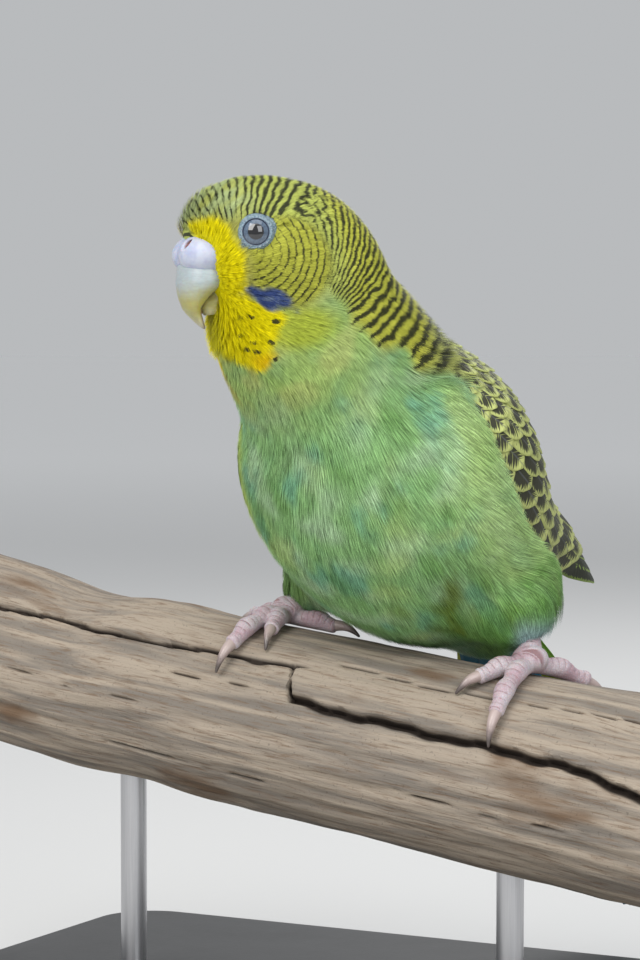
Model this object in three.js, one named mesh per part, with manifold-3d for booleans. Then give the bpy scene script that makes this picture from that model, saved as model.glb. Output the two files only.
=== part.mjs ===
// A young budgerigar, life size, on a short cut length of driftwood that a plain display stand holds up.
// Millimetres, +Z up. The bird faces -Y with its left side towards +X, and turns its head to its right.
// The origin is on the underside of the stand's base, straight below the middle of the bird's stance.
import * as THREE from "three";
import { mergeVertices } from "three/addons/utils/BufferGeometryUtils.js";
import Module from "manifold-3d";

const wasm = await Module();
wasm.setup();

const V = (x, y, z) => new THREE.Vector3(x, y, z);
const rad = THREE.MathUtils.degToRad;
const { lerp, clamp, smoothstep } = THREE.MathUtils;

// Driving sizes
const GAP = 0.3; // between neighbouring pieces
const CREST_HEIGHT = 60; // top of the perch above the floor, so that the tail clears it
const BODY_PITCH = 50; // slope of the body's axis, in degrees
const HEAD_AT = V(-2, -26.7, 57.7); // middle of the skull, above the perch's crest
const HEAD_YAW = 32; // turn to the bird's right
const HEAD_PITCH = -8;

// Solids
// A closed geometry as a solid for joining and cutting, turned right side out.
function solid(geometry) {
  for (const name of ["normal", "uv"]) geometry.deleteAttribute(name);
  const merged = mergeVertices(geometry, 1e-5);
  const kept = [];
  const index = merged.index.array;
  for (let i = 0; i < index.length; i += 3) {
    const [a, b, c] = [index[i], index[i + 1], index[i + 2]];
    if (a !== b && b !== c && a !== c) kept.push(a, b, c);
  }
  const build = (triVerts) =>
    new wasm.Manifold(
      new wasm.Mesh({
        numProp: 3,
        vertProperties: merged.attributes.position.array,
        triVerts: new Uint32Array(triVerts),
      }),
    );
  const made = build(kept);
  return made.volume() > 0 ? made : build(kept.reverse());
}

// The largest closed surface of a solid, without scraps or sealed hollows.
function largest(made) {
  return made.decompose().reduce((a, b) => (b.volume() > a.volume() ? b : a));
}

const join = (...solids) => solids.reduce((a, b) => a.add(b));
const cut = (made, ...tools) => largest(tools.reduce((a, b) => a.subtract(b), made));

// Keeps the side of a solid that a plane's normal points to, half a gap back from the plane.
const sideOf = (made, normal, point) =>
  largest(made.trimByPlane(normal.toArray(), normal.dot(point) + GAP / 2));

function indexed(points, index) {
  const geometry = new THREE.BufferGeometry();
  geometry.setAttribute("position", new THREE.Float32BufferAttribute(points.flatMap((p) => p.toArray()), 3));
  geometry.setIndex(index);
  return geometry;
}

// A closed skin over rings of points, with a fan of triangles over each end.
function loft(rings) {
  const count = rings[0].length;
  const last = (rings.length - 1) * count;
  const middle = (points) => points.reduce((sum, p) => sum.add(p), V(0, 0, 0)).divideScalar(count);
  const points = [...rings.flat(), middle(rings[0]), middle(rings.at(-1))];
  const index = [];
  for (let j = 0; j < count; j++) {
    const next = (j + 1) % count;
    index.push(next, j, points.length - 2);
    index.push(last + j, last + next, points.length - 1);
    for (let i = 0; i < last; i += count) {
      index.push(i + j, i + next, i + count + j);
      index.push(i + next, i + count + next, i + count + j);
    }
  }
  return solid(indexed(points, index));
}

// A thin plate from rows of [under, over] points, its two faces split into triangles alike.
function plate(rows) {
  const across = rows[0].length;
  const at = (i, j, k) => (i * across + j) * 2 + k;
  const index = [];
  const quad = (a, b, c, d) => index.push(a, b, c, a, c, d);
  for (let i = 0; i + 1 < rows.length; i++) {
    for (let j = 0; j + 1 < across; j++) {
      quad(at(i, j, 1), at(i, j + 1, 1), at(i + 1, j + 1, 1), at(i + 1, j, 1));
      index.push(at(i, j, 0), at(i + 1, j + 1, 0), at(i, j + 1, 0));
      index.push(at(i, j, 0), at(i + 1, j, 0), at(i + 1, j + 1, 0));
    }
    quad(at(i, 0, 0), at(i, 0, 1), at(i + 1, 0, 1), at(i + 1, 0, 0));
    quad(at(i + 1, across - 1, 0), at(i + 1, across - 1, 1), at(i, across - 1, 1), at(i, across - 1, 0));
  }
  const end = rows.length - 1;
  for (let j = 0; j + 1 < across; j++) {
    quad(at(0, j + 1, 0), at(0, j + 1, 1), at(0, j, 1), at(0, j, 0));
    quad(at(end, j, 0), at(end, j, 1), at(end, j + 1, 1), at(end, j + 1, 0));
  }
  return solid(indexed(rows.flat(2), index));
}

// A tube of changing radius along points, with rounded ends.
function tube(points, radii, sides = 6) {
  const sections = points.map((p, i) => {
    const ahead = points[Math.min(i + 1, points.length - 1)];
    const along = ahead.clone().sub(points[Math.max(i - 1, 0)]).normalize();
    const side = V(0, 0, 1).cross(along).normalize();
    const up = along.clone().cross(side);
    return ring(p, side, up, radii[i], radii[i], sides);
  });
  return loft(sections);
}

function ring(centre, side, up, halfWidth, halfHeight, count) {
  return Array.from({ length: count }, (_, j) => {
    const angle = (j / count) * 2 * Math.PI;
    return centre
      .clone()
      .addScaledVector(side, Math.cos(angle) * halfWidth)
      .addScaledVector(up, Math.sin(angle) * halfHeight);
  });
}

// Body form: ovals that melt into each other
const axesOf = (pitch, yaw = 0) => {
  const [p, y] = [rad(pitch), rad(yaw)];
  const along = V(-Math.sin(y) * Math.cos(p), -Math.cos(y) * Math.cos(p), Math.sin(p));
  const left = V(Math.cos(y), -Math.sin(y), 0);
  return { along, left, up: along.clone().cross(left) };
};
const oval = (at, halfWidth, halfLength, halfDepth, pitch = 0, yaw = 0) => ({
  at,
  half: [halfWidth, halfLength, halfDepth],
  axes: axesOf(pitch, yaw),
});
const HEAD = axesOf(HEAD_PITCH, HEAD_YAW);
// A point given from the middle of the skull: forwards, to the bird's left, and up.
const onHead = (forward, left, up) =>
  HEAD_AT.clone()
    .addScaledVector(HEAD.along, forward)
    .addScaledVector(HEAD.left, left)
    .addScaledVector(HEAD.up, up);
const headOval = (at, halfWidth, halfLength, halfDepth) =>
  oval(at, halfWidth, halfLength, halfDepth, HEAD_PITCH, HEAD_YAW);

const BODY_OVALS = [
  oval(V(0, -4, 24.9), 22, 24, 17.6, 54), // breast and back
  oval(V(0, 6, 15.5), 18, 17, 14.5, 44), // belly
  oval(V(0, 17, 8), 11.5, 14, 8.5, 42), // rump
  oval(V(-1, -16.8, 44), 14.5, 14, 14, 60), // neck
  headOval(onHead(-1, 0, 0), 10.4, 11, 10.2), // skull
  headOval(onHead(5, 0, 4.1), 7.8, 7.5, 6.2), // forehead
  headOval(onHead(-5.6, 0, -4.6), 11, 9.6, 10), // nape
  headOval(onHead(1.2, 0, -4), 10.4, 7, 8), // cheeks
  headOval(onHead(0, 0, -11.5), 8.5, 8.6, 7.5), // throat
];
const BODY_MELT = 5;

// Signed distance from an oval, near enough close to its surface.
function ovalDistance({ at, half, axes }, p) {
  const from = p.clone().sub(at);
  const q = [from.dot(axes.left), from.dot(axes.along), from.dot(axes.up)];
  const near = Math.hypot(...q.map((v, i) => v / half[i]));
  const slope = Math.hypot(...q.map((v, i) => v / half[i] ** 2));
  return slope < 1e-9 ? -Math.min(...half) : (near * (near - 1)) / slope;
}
function melted(ovals, p) {
  return ovals
    .map((o) => ovalDistance(o, p))
    .reduce((a, b) => {
      const h = Math.max(BODY_MELT - Math.abs(a - b), 0) / BODY_MELT;
      return Math.min(a, b) - (h * h * BODY_MELT) / 4;
    });
}

// The line that the body's sections are square to, from behind the tail to over the crown.
const SPINE = new THREE.CatmullRomCurve3([
  V(0, 50, -27),
  V(0, 25, 0),
  V(0, 9, 17),
  V(0, -5, 31),
  V(0, -14, 42),
  V(-1, -21, 52),
  V(-3, -27.5, 62),
  V(-3.8, -29, 74),
]);
const SPINE_LENGTH = SPINE.getLength();
function spineFrame(station) {
  const t = clamp(station / SPINE_LENGTH, 0, 1);
  const along = SPINE.getTangentAt(t);
  const left = V(1, 0, 0).addScaledVector(along, -along.x).normalize();
  return { at: SPINE.getPointAt(t), along, left, back: along.clone().cross(left) };
}
// The point at an angle from the back's midline, where a form reaches a height over its surface.
function skinPoint(ovals, { at, left, back }, angle, height) {
  const out = left.clone().multiplyScalar(Math.sin(angle)).addScaledVector(back, Math.cos(angle));
  let [near, far] = [0, 60];
  for (let i = 0; i < 30; i++) {
    const middle = (near + far) / 2;
    if (melted(ovals, at.clone().addScaledVector(out, middle)) > height) far = middle;
    else near = middle;
  }
  return at.clone().addScaledVector(out, near);
}

const BODY_SECTIONS = 30;
const BODY_SIDES = 28;
const TAIL_END_STATION = 30;
const CROWN_STATION = 126;
// The whole body as one closed skin, grown outwards by a height.
function bodyForm(grown = 0) {
  const inside = (station) => melted(BODY_OVALS, spineFrame(station).at) < grown;
  const edge = (outer, inner) => {
    for (let i = 0; i < 30; i++) {
      const middle = (outer + inner) / 2;
      if (inside(middle)) inner = middle;
      else outer = middle;
    }
    return inner;
  };
  const [from, to] = [edge(TAIL_END_STATION - 15, 60), edge(CROWN_STATION, 100)];
  const sections = [];
  for (let i = 1; i < BODY_SECTIONS; i++) {
    // Closer together towards both ends, where the form rounds off.
    const frame = spineFrame(lerp(from, to, (1 - Math.cos((i / BODY_SECTIONS) * Math.PI)) / 2));
    const points = [];
    for (let j = 0; j < BODY_SIDES; j++)
      points.push(skinPoint(BODY_OVALS, frame, (j / BODY_SIDES) * 2 * Math.PI, grown));
    sections.push(points);
  }
  return loft(sections);
}

const model = new THREE.Group();
// Colour and roughness of each finish
const COLOURS = {
  face: [0xd8c81a, 0.8],
  green: [0x5f9f3c, 0.8],
  barred: [0xb8bf4a, 0.7],
  tail: [0x2c5f86, 0.6],
  thigh: [0x8fbf9a, 0.8],
  foot: [0xc9a9b4, 0.6],
  claw: [0x9a948e, 0.4],
  bill: [0xc9c79a, 0.35],
  cere: [0xd3d6ec, 0.5],
  lid: [0x9fb4c4, 0.6],
  eye: [0x0c1020, 0.05],
  wood: [0x9c8b78, 0.9],
  stand: [0x2b2b2d, 0.5],
  rod: [0xb9bcc0, 0.3],
};
const solids = {};
// Keeps a solid as a named mesh of the model.
function node(name, made, finish) {
  solids[name] = made;
  const { numProp, vertProperties, triVerts } = made.getMesh();
  const geometry = new THREE.BufferGeometry();
  const points = [];
  for (let i = 0; i < vertProperties.length; i += numProp) points.push(...vertProperties.slice(i, i + 3));
  geometry.setAttribute("position", new THREE.Float32BufferAttribute(points, 3));
  geometry.setIndex([...triVerts]);
  geometry.computeVertexNormals();
  const [color, roughness] = COLOURS[finish];
  const mesh = new THREE.Mesh(geometry, new THREE.MeshStandardMaterial({ color, roughness, metalness: 0 }));
  mesh.name = name;
  model.add(mesh);
}

// Perch: a length of weathered branch, lower at the bird's left
const PERCH_RADIUS = 14.1;
const PERCH_YAW = 12;
const PERCH_FALL = 8; // degrees
const PERCH_FROM = -82; // its ends, along its axis from the middle of the stance
const PERCH_TO = 50;
const PERCH_TAPER = 0.008; // radius gained for each millimetre to the bird's left
const PERCH_BEND_FROM = -38; // past here it bends up
const PERCH_BEND = 0.0012;
const PERCH = {
  along: V(
    Math.cos(rad(PERCH_YAW)) * Math.cos(rad(PERCH_FALL)),
    Math.sin(rad(PERCH_YAW)) * Math.cos(rad(PERCH_FALL)),
    -Math.sin(rad(PERCH_FALL)),
  ),
  front: V(Math.sin(rad(PERCH_YAW)), -Math.cos(rad(PERCH_YAW)), 0),
};
PERCH.up = PERCH.front.clone().cross(PERCH.along).normalize();
if (PERCH.up.z < 0) PERCH.up.negate();

// The long split in the front: the angle of its line, how far it runs, its width and depth.
const SPLIT = { from: -14, to: 60, angleFrom: 62, angleTo: 74, halfWidth: 0.075, depth: 2.2 };
// The worn step along the upper front, to the bird's right of its foot.
const STEP = { from: -90, to: -14, angle: 40, halfWidth: 0.11, depth: 1.3 };

const perchMiddle = (along) => {
  const past = Math.max(0, PERCH_BEND_FROM - along);
  return V(0, 0, -PERCH_RADIUS)
    .addScaledVector(PERCH.along, along)
    .addScaledVector(PERCH.up, PERCH_BEND * past * past);
};
// Swells and hollows of the worn wood; angle 0 is the crest and 90 degrees the front.
function perchRadius(along, angle) {
  const round = PERCH_RADIUS + PERCH_TAPER * along;
  const knot = 0.9 * Math.exp(-(((along + 40) / 9) ** 2)) * Math.cos(angle);
  const dip = -0.9 * Math.exp(-(((along + 54) / 8) ** 2)) * Math.max(0, Math.cos(angle));
  const wave = 0.35 * Math.sin(along / 17 + 2 * angle) + 0.25 * Math.sin(3 * angle + along / 29);
  const calm = smoothstep(Math.abs(along), 24, 40); // even under the feet
  return round + (knot + dip + wave) * calm;
}
function perchPoint(along, angle, height) {
  const reach = perchRadius(along, angle) + height;
  return perchMiddle(along)
    .addScaledVector(PERCH.up, Math.cos(angle) * reach)
    .addScaledVector(PERCH.front, Math.sin(angle) * reach);
}
const splitAngle = (along) =>
  rad(lerp(SPLIT.angleFrom, SPLIT.angleTo, (along - SPLIT.from) / (SPLIT.to - SPLIT.from)));

const PERCH_SECTIONS = 24;
const PERCH_SIDES = 18;
function perchForm(grown = 0) {
  const sections = [];
  for (let i = 0; i <= PERCH_SECTIONS; i++) {
    const along = lerp(PERCH_FROM, PERCH_TO, i / PERCH_SECTIONS);
    const points = [];
    for (let j = 0; j < PERCH_SIDES; j++)
      points.push(perchPoint(along, (j / PERCH_SIDES) * 2 * Math.PI, grown));
    sections.push(points);
  }
  return loft(sections);
}
// A wedge cut along the wood, wide at the surface and closing to its bottom, tapering out at both ends.
function grooveTool({ from, to, halfWidth, depth }, angleAt, steps = 9) {
  const sections = [];
  for (let i = 0; i <= steps; i++) {
    const along = lerp(from, to, i / steps);
    const fade = Math.max(0.12, Math.min(1, (i + 0.15) / 2.5, (steps - i + 0.15) / 2.5));
    const angle = angleAt(along);
    sections.push([
      perchPoint(along, angle - halfWidth * fade, 1.2),
      perchPoint(along, angle + halfWidth * fade, 1.2),
      perchPoint(along, angle + halfWidth * 0.25 * fade, -depth * fade),
      perchPoint(along, angle - halfWidth * 0.25 * fade, -depth * fade),
    ]);
  }
  return loft(sections);
}

// Stand: two rods on a flat base
const BASE = { length: 122, depth: 78, thickness: 8, corner: 10, along: -14, back: 4 };
const ROD_RADIUS = 2;
const ROD_AT = [-46, 18]; // along the perch
const ROD_INTO_PERCH = 5;
const ROD_INTO_BASE = 5;
const FLOOR = -CREST_HEIGHT;

function upright(x, y, from, to, radius, sides = 16) {
  const made = new THREE.CylinderGeometry(radius, radius, to - from, sides);
  made.rotateX(Math.PI / 2).translate(x, y, (from + to) / 2);
  return solid(made);
}
const rodPlace = (along) => {
  const middle = perchMiddle(along);
  return { x: middle.x, y: middle.y, bottomOfPerch: perchPoint(along, Math.PI, 0).z };
};

function makeStand() {
  const { length, depth, thickness, corner, along, back } = BASE;
  const shape = new THREE.Shape();
  const [w, d] = [length / 2, depth / 2];
  shape.moveTo(-w + corner, -d);
  shape.absarc(w - corner, -d + corner, corner, -Math.PI / 2, 0);
  shape.absarc(w - corner, d - corner, corner, 0, Math.PI / 2);
  shape.absarc(-w + corner, d - corner, corner, Math.PI / 2, Math.PI);
  shape.absarc(-w + corner, -d + corner, corner, Math.PI, 1.5 * Math.PI);
  const made = new THREE.ExtrudeGeometry(shape, { depth: thickness, bevelEnabled: false, curveSegments: 5 });
  made.rotateZ(rad(PERCH_YAW));
  made.translate(along, back, FLOOR);
  const places = ROD_AT.map(rodPlace);
  const seats = places.map(({ x, y }) =>
    upright(x, y, FLOOR + thickness - ROD_INTO_BASE - GAP, FLOOR + thickness + 1, ROD_RADIUS + GAP),
  );
  node("stand_base", cut(solid(made), ...seats), "stand");
  places.forEach(({ x, y, bottomOfPerch }, i) => {
    const [from, to] = [FLOOR + thickness - ROD_INTO_BASE, bottomOfPerch + ROD_INTO_PERCH];
    node(`stand_rod_${i + 1}`, upright(x, y, from, to, ROD_RADIUS), "rod");
  });
}

function makePerch() {
  const sockets = ROD_AT.map(rodPlace).map(({ x, y, bottomOfPerch }) =>
    upright(x, y, bottomOfPerch - 6, bottomOfPerch + ROD_INTO_PERCH + GAP, ROD_RADIUS + GAP),
  );
  const split = grooveTool(SPLIT, splitAngle);
  const step = grooveTool(STEP, () => rad(STEP.angle));
  node("perch", cut(perchForm(), split, step, ...sockets), "wood");
}

// Feet: tarsus, ball and four toes, two forwards and two back
const TOE_RADIUS = 1.55;
const TOE_TIP = 0.5; // how far a toe's rounded end goes on
const BALL_RADIUS = 2.5;
const CLAW_RADIUS = 0.85;
// Heading 0 points square to the perch's front, and a positive one turns outwards.
const TOES = [
  { name: "inner_front", heading: { left: -30, right: -14 }, length: 8.4, claw: 3.8 },
  { name: "outer_front", heading: { left: 4, right: 8 }, length: 13.4, claw: 4.6 },
  { name: "outer_rear", heading: { left: 142, right: 126 }, length: 9.4, claw: 4.2 },
  { name: "inner_rear", heading: { left: -142, right: -98 }, length: 7.6, claw: 3.6 },
];
const FEET = {
  left: { side: 1, along: 18.6, angle: -0.02, heel: V(14, 12, 9.5) },
  right: { side: -1, along: -22.6, angle: -0.16, heel: V(-15.5, 4.5, 11.5) },
};

function toePath(foot, heading, from, to, lift, steps) {
  const turned = rad(heading);
  return Array.from({ length: steps + 1 }, (_, i) => {
    const reach = lerp(from, to, i / steps);
    const along = foot.along + foot.side * Math.sin(turned) * reach;
    const angle = foot.angle + (Math.cos(turned) * reach) / (PERCH_RADIUS + TOE_RADIUS);
    return perchPoint(along, angle, GAP + lift(i / steps));
  });
}

// The foot and its claws, each radius grown by the room that a neighbour leaves them.
function footForms(sideName, grown = 0) {
  const foot = FEET[sideName];
  const ball = perchPoint(foot.along, foot.angle, GAP + BALL_RADIUS * 0.8);
  const pad = new THREE.SphereGeometry(BALL_RADIUS + grown, 8, 6).scale(1.1, 1, 0.8);
  pad.translate(...ball.toArray());
  const top = foot.heel.clone().addScaledVector(foot.heel.clone().sub(ball).normalize(), grown);
  const shank = [0, 0.25, 0.5, 0.75, 1].map((t) => ball.clone().lerp(top, t));
  const parts = [solid(pad), tube(shank, [1.9, 1.6, 1.5, 1.6, 2].map((r) => r + grown))];
  const claws = TOES.map((toe) => {
    const heading = toe.heading[sideName];
    const steps = Math.round(toe.length / 1.4);
    // Pads under the joints swell the toe a little, and it thins towards the claw.
    const girth = (t) => TOE_RADIUS * (1.02 - 0.22 * t) + 0.13 * Math.cos(t * toe.length * 1.35);
    const points = toePath(foot, heading, 0.5, toe.length, girth, steps);
    const radii = points.map((_, i) => girth(i / steps) + grown);
    const tip = points.at(-1).clone().sub(points.at(-2)).setLength(TOE_TIP);
    points.push(points.at(-1).clone().add(tip));
    radii.push(radii.at(-1) * 0.72);
    parts.push(tube(points, radii));
    const clawFrom = toe.length + TOE_TIP + 2 * GAP;
    // A claw leaves the upper half of the toe, arches and comes down to the wood.
    const rise = (t) => lerp(1.05, 0.15, t * t) + 0.35 * Math.sin(t * Math.PI);
    const claw = toePath(foot, heading, clawFrom, clawFrom + toe.claw, rise, 5);
    return tube(claw, claw.map((_, i) => lerp(CLAW_RADIUS, 0.14, (i / 5) ** 1.3) + grown));
  });
  return { foot: join(...parts), claws };
}

function makeFoot(sideName) {
  const { foot, claws } = footForms(sideName);
  TOES.forEach((toe, i) => node(`claw_${sideName}_${toe.name}`, claws[i], "claw"));
  node(`foot_${sideName}`, cut(foot, perchForm(GAP)), "foot");
}
const footRoom = (sideName) => {
  const { foot, claws } = footForms(sideName, GAP);
  return join(foot, ...claws);
};

// Thighs: the feathered part of each leg, down to the ankle
function makeThigh(sideName, bodyGrown) {
  const foot = FEET[sideName];
  const ankle = perchPoint(foot.along, foot.angle, 5.2).lerp(foot.heel, 0.2);
  const hip = V(foot.side * 10.5, foot.heel.y - 3, 15.5);
  const places = [0, 0.18, 0.4, 0.62, 0.82, 1];
  const widths = [4, 6.6, 7.6, 6.6, 4.8, 3.1];
  const points = places.map((t) => hip.clone().lerp(ankle, t));
  const trouser = tube(points, widths, 16);
  const rooms = [bodyGrown, footRoom(sideName), perchForm(GAP), wingRoom(foot.side)];
  node(`thigh_${sideName}`, cut(trouser, ...rooms), "thigh");
}

// Wings: a core close to the body, roofed by tiers of overlapping feathers
// Stations run along each folded wing, from its front edge to its tip.
const WING_PITCH = 40;
const WING_FRONT = V(0, -14, 36);
const WING_AXES = { along: axesOf(WING_PITCH).along.negate(), left: V(1, 0, 0), back: axesOf(WING_PITCH).up };
const wingFrame = (station) => ({
  at: WING_FRONT.clone().addScaledVector(WING_AXES.along, station),
  ...WING_AXES,
});
// What the folded wings lie on, past the rump as well, where they stand clear of the tail.
const WING_CARRIER = oval(wingFrame(44).at.addScaledVector(WING_AXES.back, 3), 11.5, 22, 9.5, WING_PITCH);
const WING_FORM = [...BODY_OVALS, WING_CARRIER];
const WING_LIFT = GAP + 0.15; // over the smooth form, which straight facets dip under
const WING_SPAN = { front: 3, core: 52, rear: 62 };
const FRONT_ROUNDING = 5; // how far back the corners of the front edge lie
const wingTop = (station) => rad(lerp(44, 9, smoothstep(station, 2, 20)));
const wingLow = (station) => {
  const front = lerp(96, 84, smoothstep(station, 4, 12));
  return rad(front + 6 * smoothstep(station, 26, 38) - 38 * smoothstep(station, 42, 63));
};
const coreThickness = (station) =>
  lerp(1, 2.3, smoothstep(station, 3, 14)) - 1.6 * smoothstep(station, 14, 60);
const wingPoint = (side, station, angle, height) =>
  skinPoint(WING_FORM, wingFrame(station), side * angle, height);

// Kept free over the body for the wing's feathers, and past its lower edge, in radians.
const WING_ROOM = 4;
const WING_MARGIN = 0.28;
function wingRoom(side) {
  const rows = [];
  const [steps, across] = [10, 6];
  for (let i = 0; i <= steps; i++) {
    const station = lerp(WING_SPAN.front, WING_SPAN.rear, i / steps);
    const row = [];
    for (let j = 0; j <= across; j++) {
      const angle = lerp(wingTop(station), wingLow(station) + WING_MARGIN, j / across);
      row.push([0, WING_ROOM].map((height) => wingPoint(side, station, angle, height)));
    }
    rows.push(row);
  }
  return plate(rows);
}

function wingCore(side) {
  const rows = [];
  const [steps, across] = [9, 6];
  for (let i = 0; i <= steps; i++) {
    const row = [];
    for (let j = 0; j <= across; j++) {
      const rounding = FRONT_ROUNDING * (2 * (j / across) - 1) ** 2 * (1 - i / steps) ** 3;
      const station = lerp(WING_SPAN.front, WING_SPAN.core, i / steps) + rounding;
      const angle = lerp(wingTop(station), wingLow(station), j / across);
      const rim = j === 0 || j === across ? 0.5 : 1;
      const at = (height) => wingPoint(side, station, angle, height);
      row.push([at(WING_LIFT), at(WING_LIFT + Math.max(0.5, coreThickness(station) * rim))]);
    }
    rows.push(row);
  }
  return plate(rows);
}

// Each tier of feathers, from the quills to the shoulder: the stations of its roots and of its first and
// last tips, the angles round the wing that roots and tips spread over, and the tips' height over the core.
const TIERS = [
  { count: 7, root: 36, tips: [50, 63], from: [58, 86], to: [20, 40], width: 6, over: -0.5 }, // primaries
  { count: 8, root: 24, tips: [56, 46], from: [15, 84], to: [16, 76], width: 7.4, over: 0.1 }, // secondaries
  { count: 7, root: 12, tips: [34, 31], from: [15, 84], to: [14, 84], width: 8.4, over: 0.45 }, // coverts
];
const VANE_STEPS = 3;
const WING_TILT = 0.16; // each feather's lower edge lies over the next one
const VANE_THICKNESS = 0.55;
const SUNK_ROOT = -0.95;
const WIDEST_VANE = rad(30);

// A repeatable draw between -1 and 1, for the small differences between feathers.
function drawer(seed) {
  let state = seed;
  return () => {
    state = (state * 16807) % 2147483647;
    return (state / 2147483647) * 2 - 1;
  };
}

// A feather's half-width along its length, as a share: narrow at the root, rounded at the tip.
function vaneShape(t) {
  const tip = t < 0.75 ? 1 : Math.sqrt(Math.max(0.03, 1 - ((t - 0.75) / 0.26) ** 2));
  return Math.min(1, 0.55 + 1.6 * t) * tip;
}

function wingVane(side, tier, i, draw) {
  const share = i / (tier.count - 1);
  const tip = lerp(...tier.tips, share) + 0.5 * draw();
  const [from, to] = [lerp(...tier.from, share), lerp(...tier.to, share) + 0.8 * draw()].map(rad);
  const width = tier.width * (1 + 0.05 * draw());
  const rows = [];
  for (let k = 0; k <= VANE_STEPS; k++) {
    const t = k / VANE_STEPS;
    const station = lerp(tier.root, tip, t);
    const angle = lerp(from, to, t);
    const low = WING_LIFT + coreThickness(station) + lerp(SUNK_ROOT, tier.over, Math.min(1, t * 1.6));
    const reach = wingPoint(side, station, angle, 0).distanceTo(wingFrame(station).at);
    const half = Math.min(WIDEST_VANE, (vaneShape(t) * width) / 2 / reach);
    rows.push(
      [-1, 1].map((edge) => {
        const height = Math.max(WING_LIFT + 0.1, low + WING_TILT * edge);
        const at = (h) => wingPoint(side, station, angle + edge * half, h);
        return [at(height), at(height + VANE_THICKNESS)];
      }),
    );
  }
  return plate(rows);
}

function makeWing(sideName) {
  const side = FEET[sideName].side;
  const draw = drawer(side > 0 ? 11 : 29);
  const vanes = [];
  for (const tier of TIERS) for (let i = 0; i < tier.count; i++) vanes.push(wingVane(side, tier, i, draw));
  const whole = join(wingCore(side), ...vanes);
  node(`wing_${sideName}`, sideOf(whole, V(side, 0, 0), V(0, 0, 0)), "barred");
}

// Tail: twelve graduated feathers under a root of coverts
const TAIL_ROOT = V(0, 22, 3.5);
const TAIL_PITCH = 50;
const TAIL = {
  along: V(0, Math.cos(rad(TAIL_PITCH)), -Math.sin(rad(TAIL_PITCH))),
  back: V(0, Math.sin(rad(TAIL_PITCH)), Math.cos(rad(TAIL_PITCH))),
};
const tailPoint = (reach, across, height) =>
  TAIL_ROOT.clone()
    .addScaledVector(TAIL.along, reach)
    .addScaledVector(V(1, 0, 0), across)
    .addScaledVector(TAIL.back, height);

const TAIL_LENGTH = 66;
const TAIL_PAIRS = 6;
const TAIL_FAN = 2; // degrees between neighbours
const TAIL_STEP = 6; // each pair is shorter than the last
const TAIL_WIDTH = 6.8;
const TAIL_LEVEL = 0.42; // each pair lies this much lower than the last
const TAIL_SAG = 0.0004;

function tailVane({ side, fan, from, length, width, level, steps }) {
  const rows = [];
  for (let k = 0; k <= steps; k++) {
    const t = k / steps;
    const reach = lerp(from, length, t);
    // The fan opens from the root, and closes a little again towards the tip.
    const middle = side * (1 + Math.sin(rad(fan)) * reach * (1 - 0.3 * (reach / TAIL_LENGTH)));
    const half = (vaneShape(t) * width) / 2;
    const height = level - TAIL_SAG * reach * reach;
    rows.push(
      [-1, 1].map((edge) => {
        const x = middle + edge * half;
        return [tailPoint(reach, x, height), tailPoint(reach, x, height + VANE_THICKNESS)];
      }),
    );
  }
  return plate(rows);
}

// Coverts lie over and under the root of the tail: how many millimetres each tier reaches, and its level.
const TAIL_COVERTS = [
  { length: 26, level: 1.3 },
  { length: 18, level: 1.75 },
  { length: 30, level: -2.3 },
  { length: 21, level: -2.75 },
];
const COVERT_FAN = 14;
const COVERT_WIDTH = 7.6;

// Half-widths and half-depths of the fleshy root that the feathers grow from.
const TAIL_ROOT_SECTIONS = [
  [-5, 6, 3],
  [0, 9.2, 4.4],
  [6, 8.2, 3.2],
  [13, 4.6, 1.4],
];

function makeTail(bodyGrown) {
  const draw = drawer(5);
  const vanes = [];
  for (let pair = 0; pair < TAIL_PAIRS; pair++)
    for (const side of [-1, 1]) {
      const length = TAIL_LENGTH - TAIL_STEP * pair + draw();
      const level = 0.8 - TAIL_LEVEL * (pair + (side > 0 ? 0.5 : 0));
      const fan = TAIL_FAN * (pair + 0.5);
      const shape = { side, fan, from: 2, length, width: TAIL_WIDTH, level };
      vanes.push(tailVane({ ...shape, steps: 4 }));
    }
  for (const { length, level } of TAIL_COVERTS)
    for (const side of [-1, 0, 1]) {
      const reach = length - 3.5 * Math.abs(side);
      const lower = level - 0.2 * Math.abs(side);
      const fan = COVERT_FAN * Math.abs(side);
      const shape = { side, fan, from: 1, length: reach, width: COVERT_WIDTH, level: lower };
      vanes.push(tailVane({ ...shape, steps: 4 }));
    }
  const rings = TAIL_ROOT_SECTIONS.map(([reach, halfWidth, halfDepth]) =>
    ring(tailPoint(reach, 0, -0.5), V(1, 0, 0), TAIL.back, halfWidth, halfDepth, 16),
  );
  node("tail", cut(join(loft(rings), ...vanes), bodyGrown), "tail");
}

// Head: eyes in rings of bare skin, cere and bill
const EYE_RADIUS = 2.9;
const EYE_PLACE = { forward: 4.1, left: 7.45, up: 3.1 };
const EYE_LOOKS = { forward: 0.3, left: 0.94, up: 0.08 };
const LID = { inner: 1.95, outer: 3.15, under: 0.95, over: 0.62 };

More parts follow.
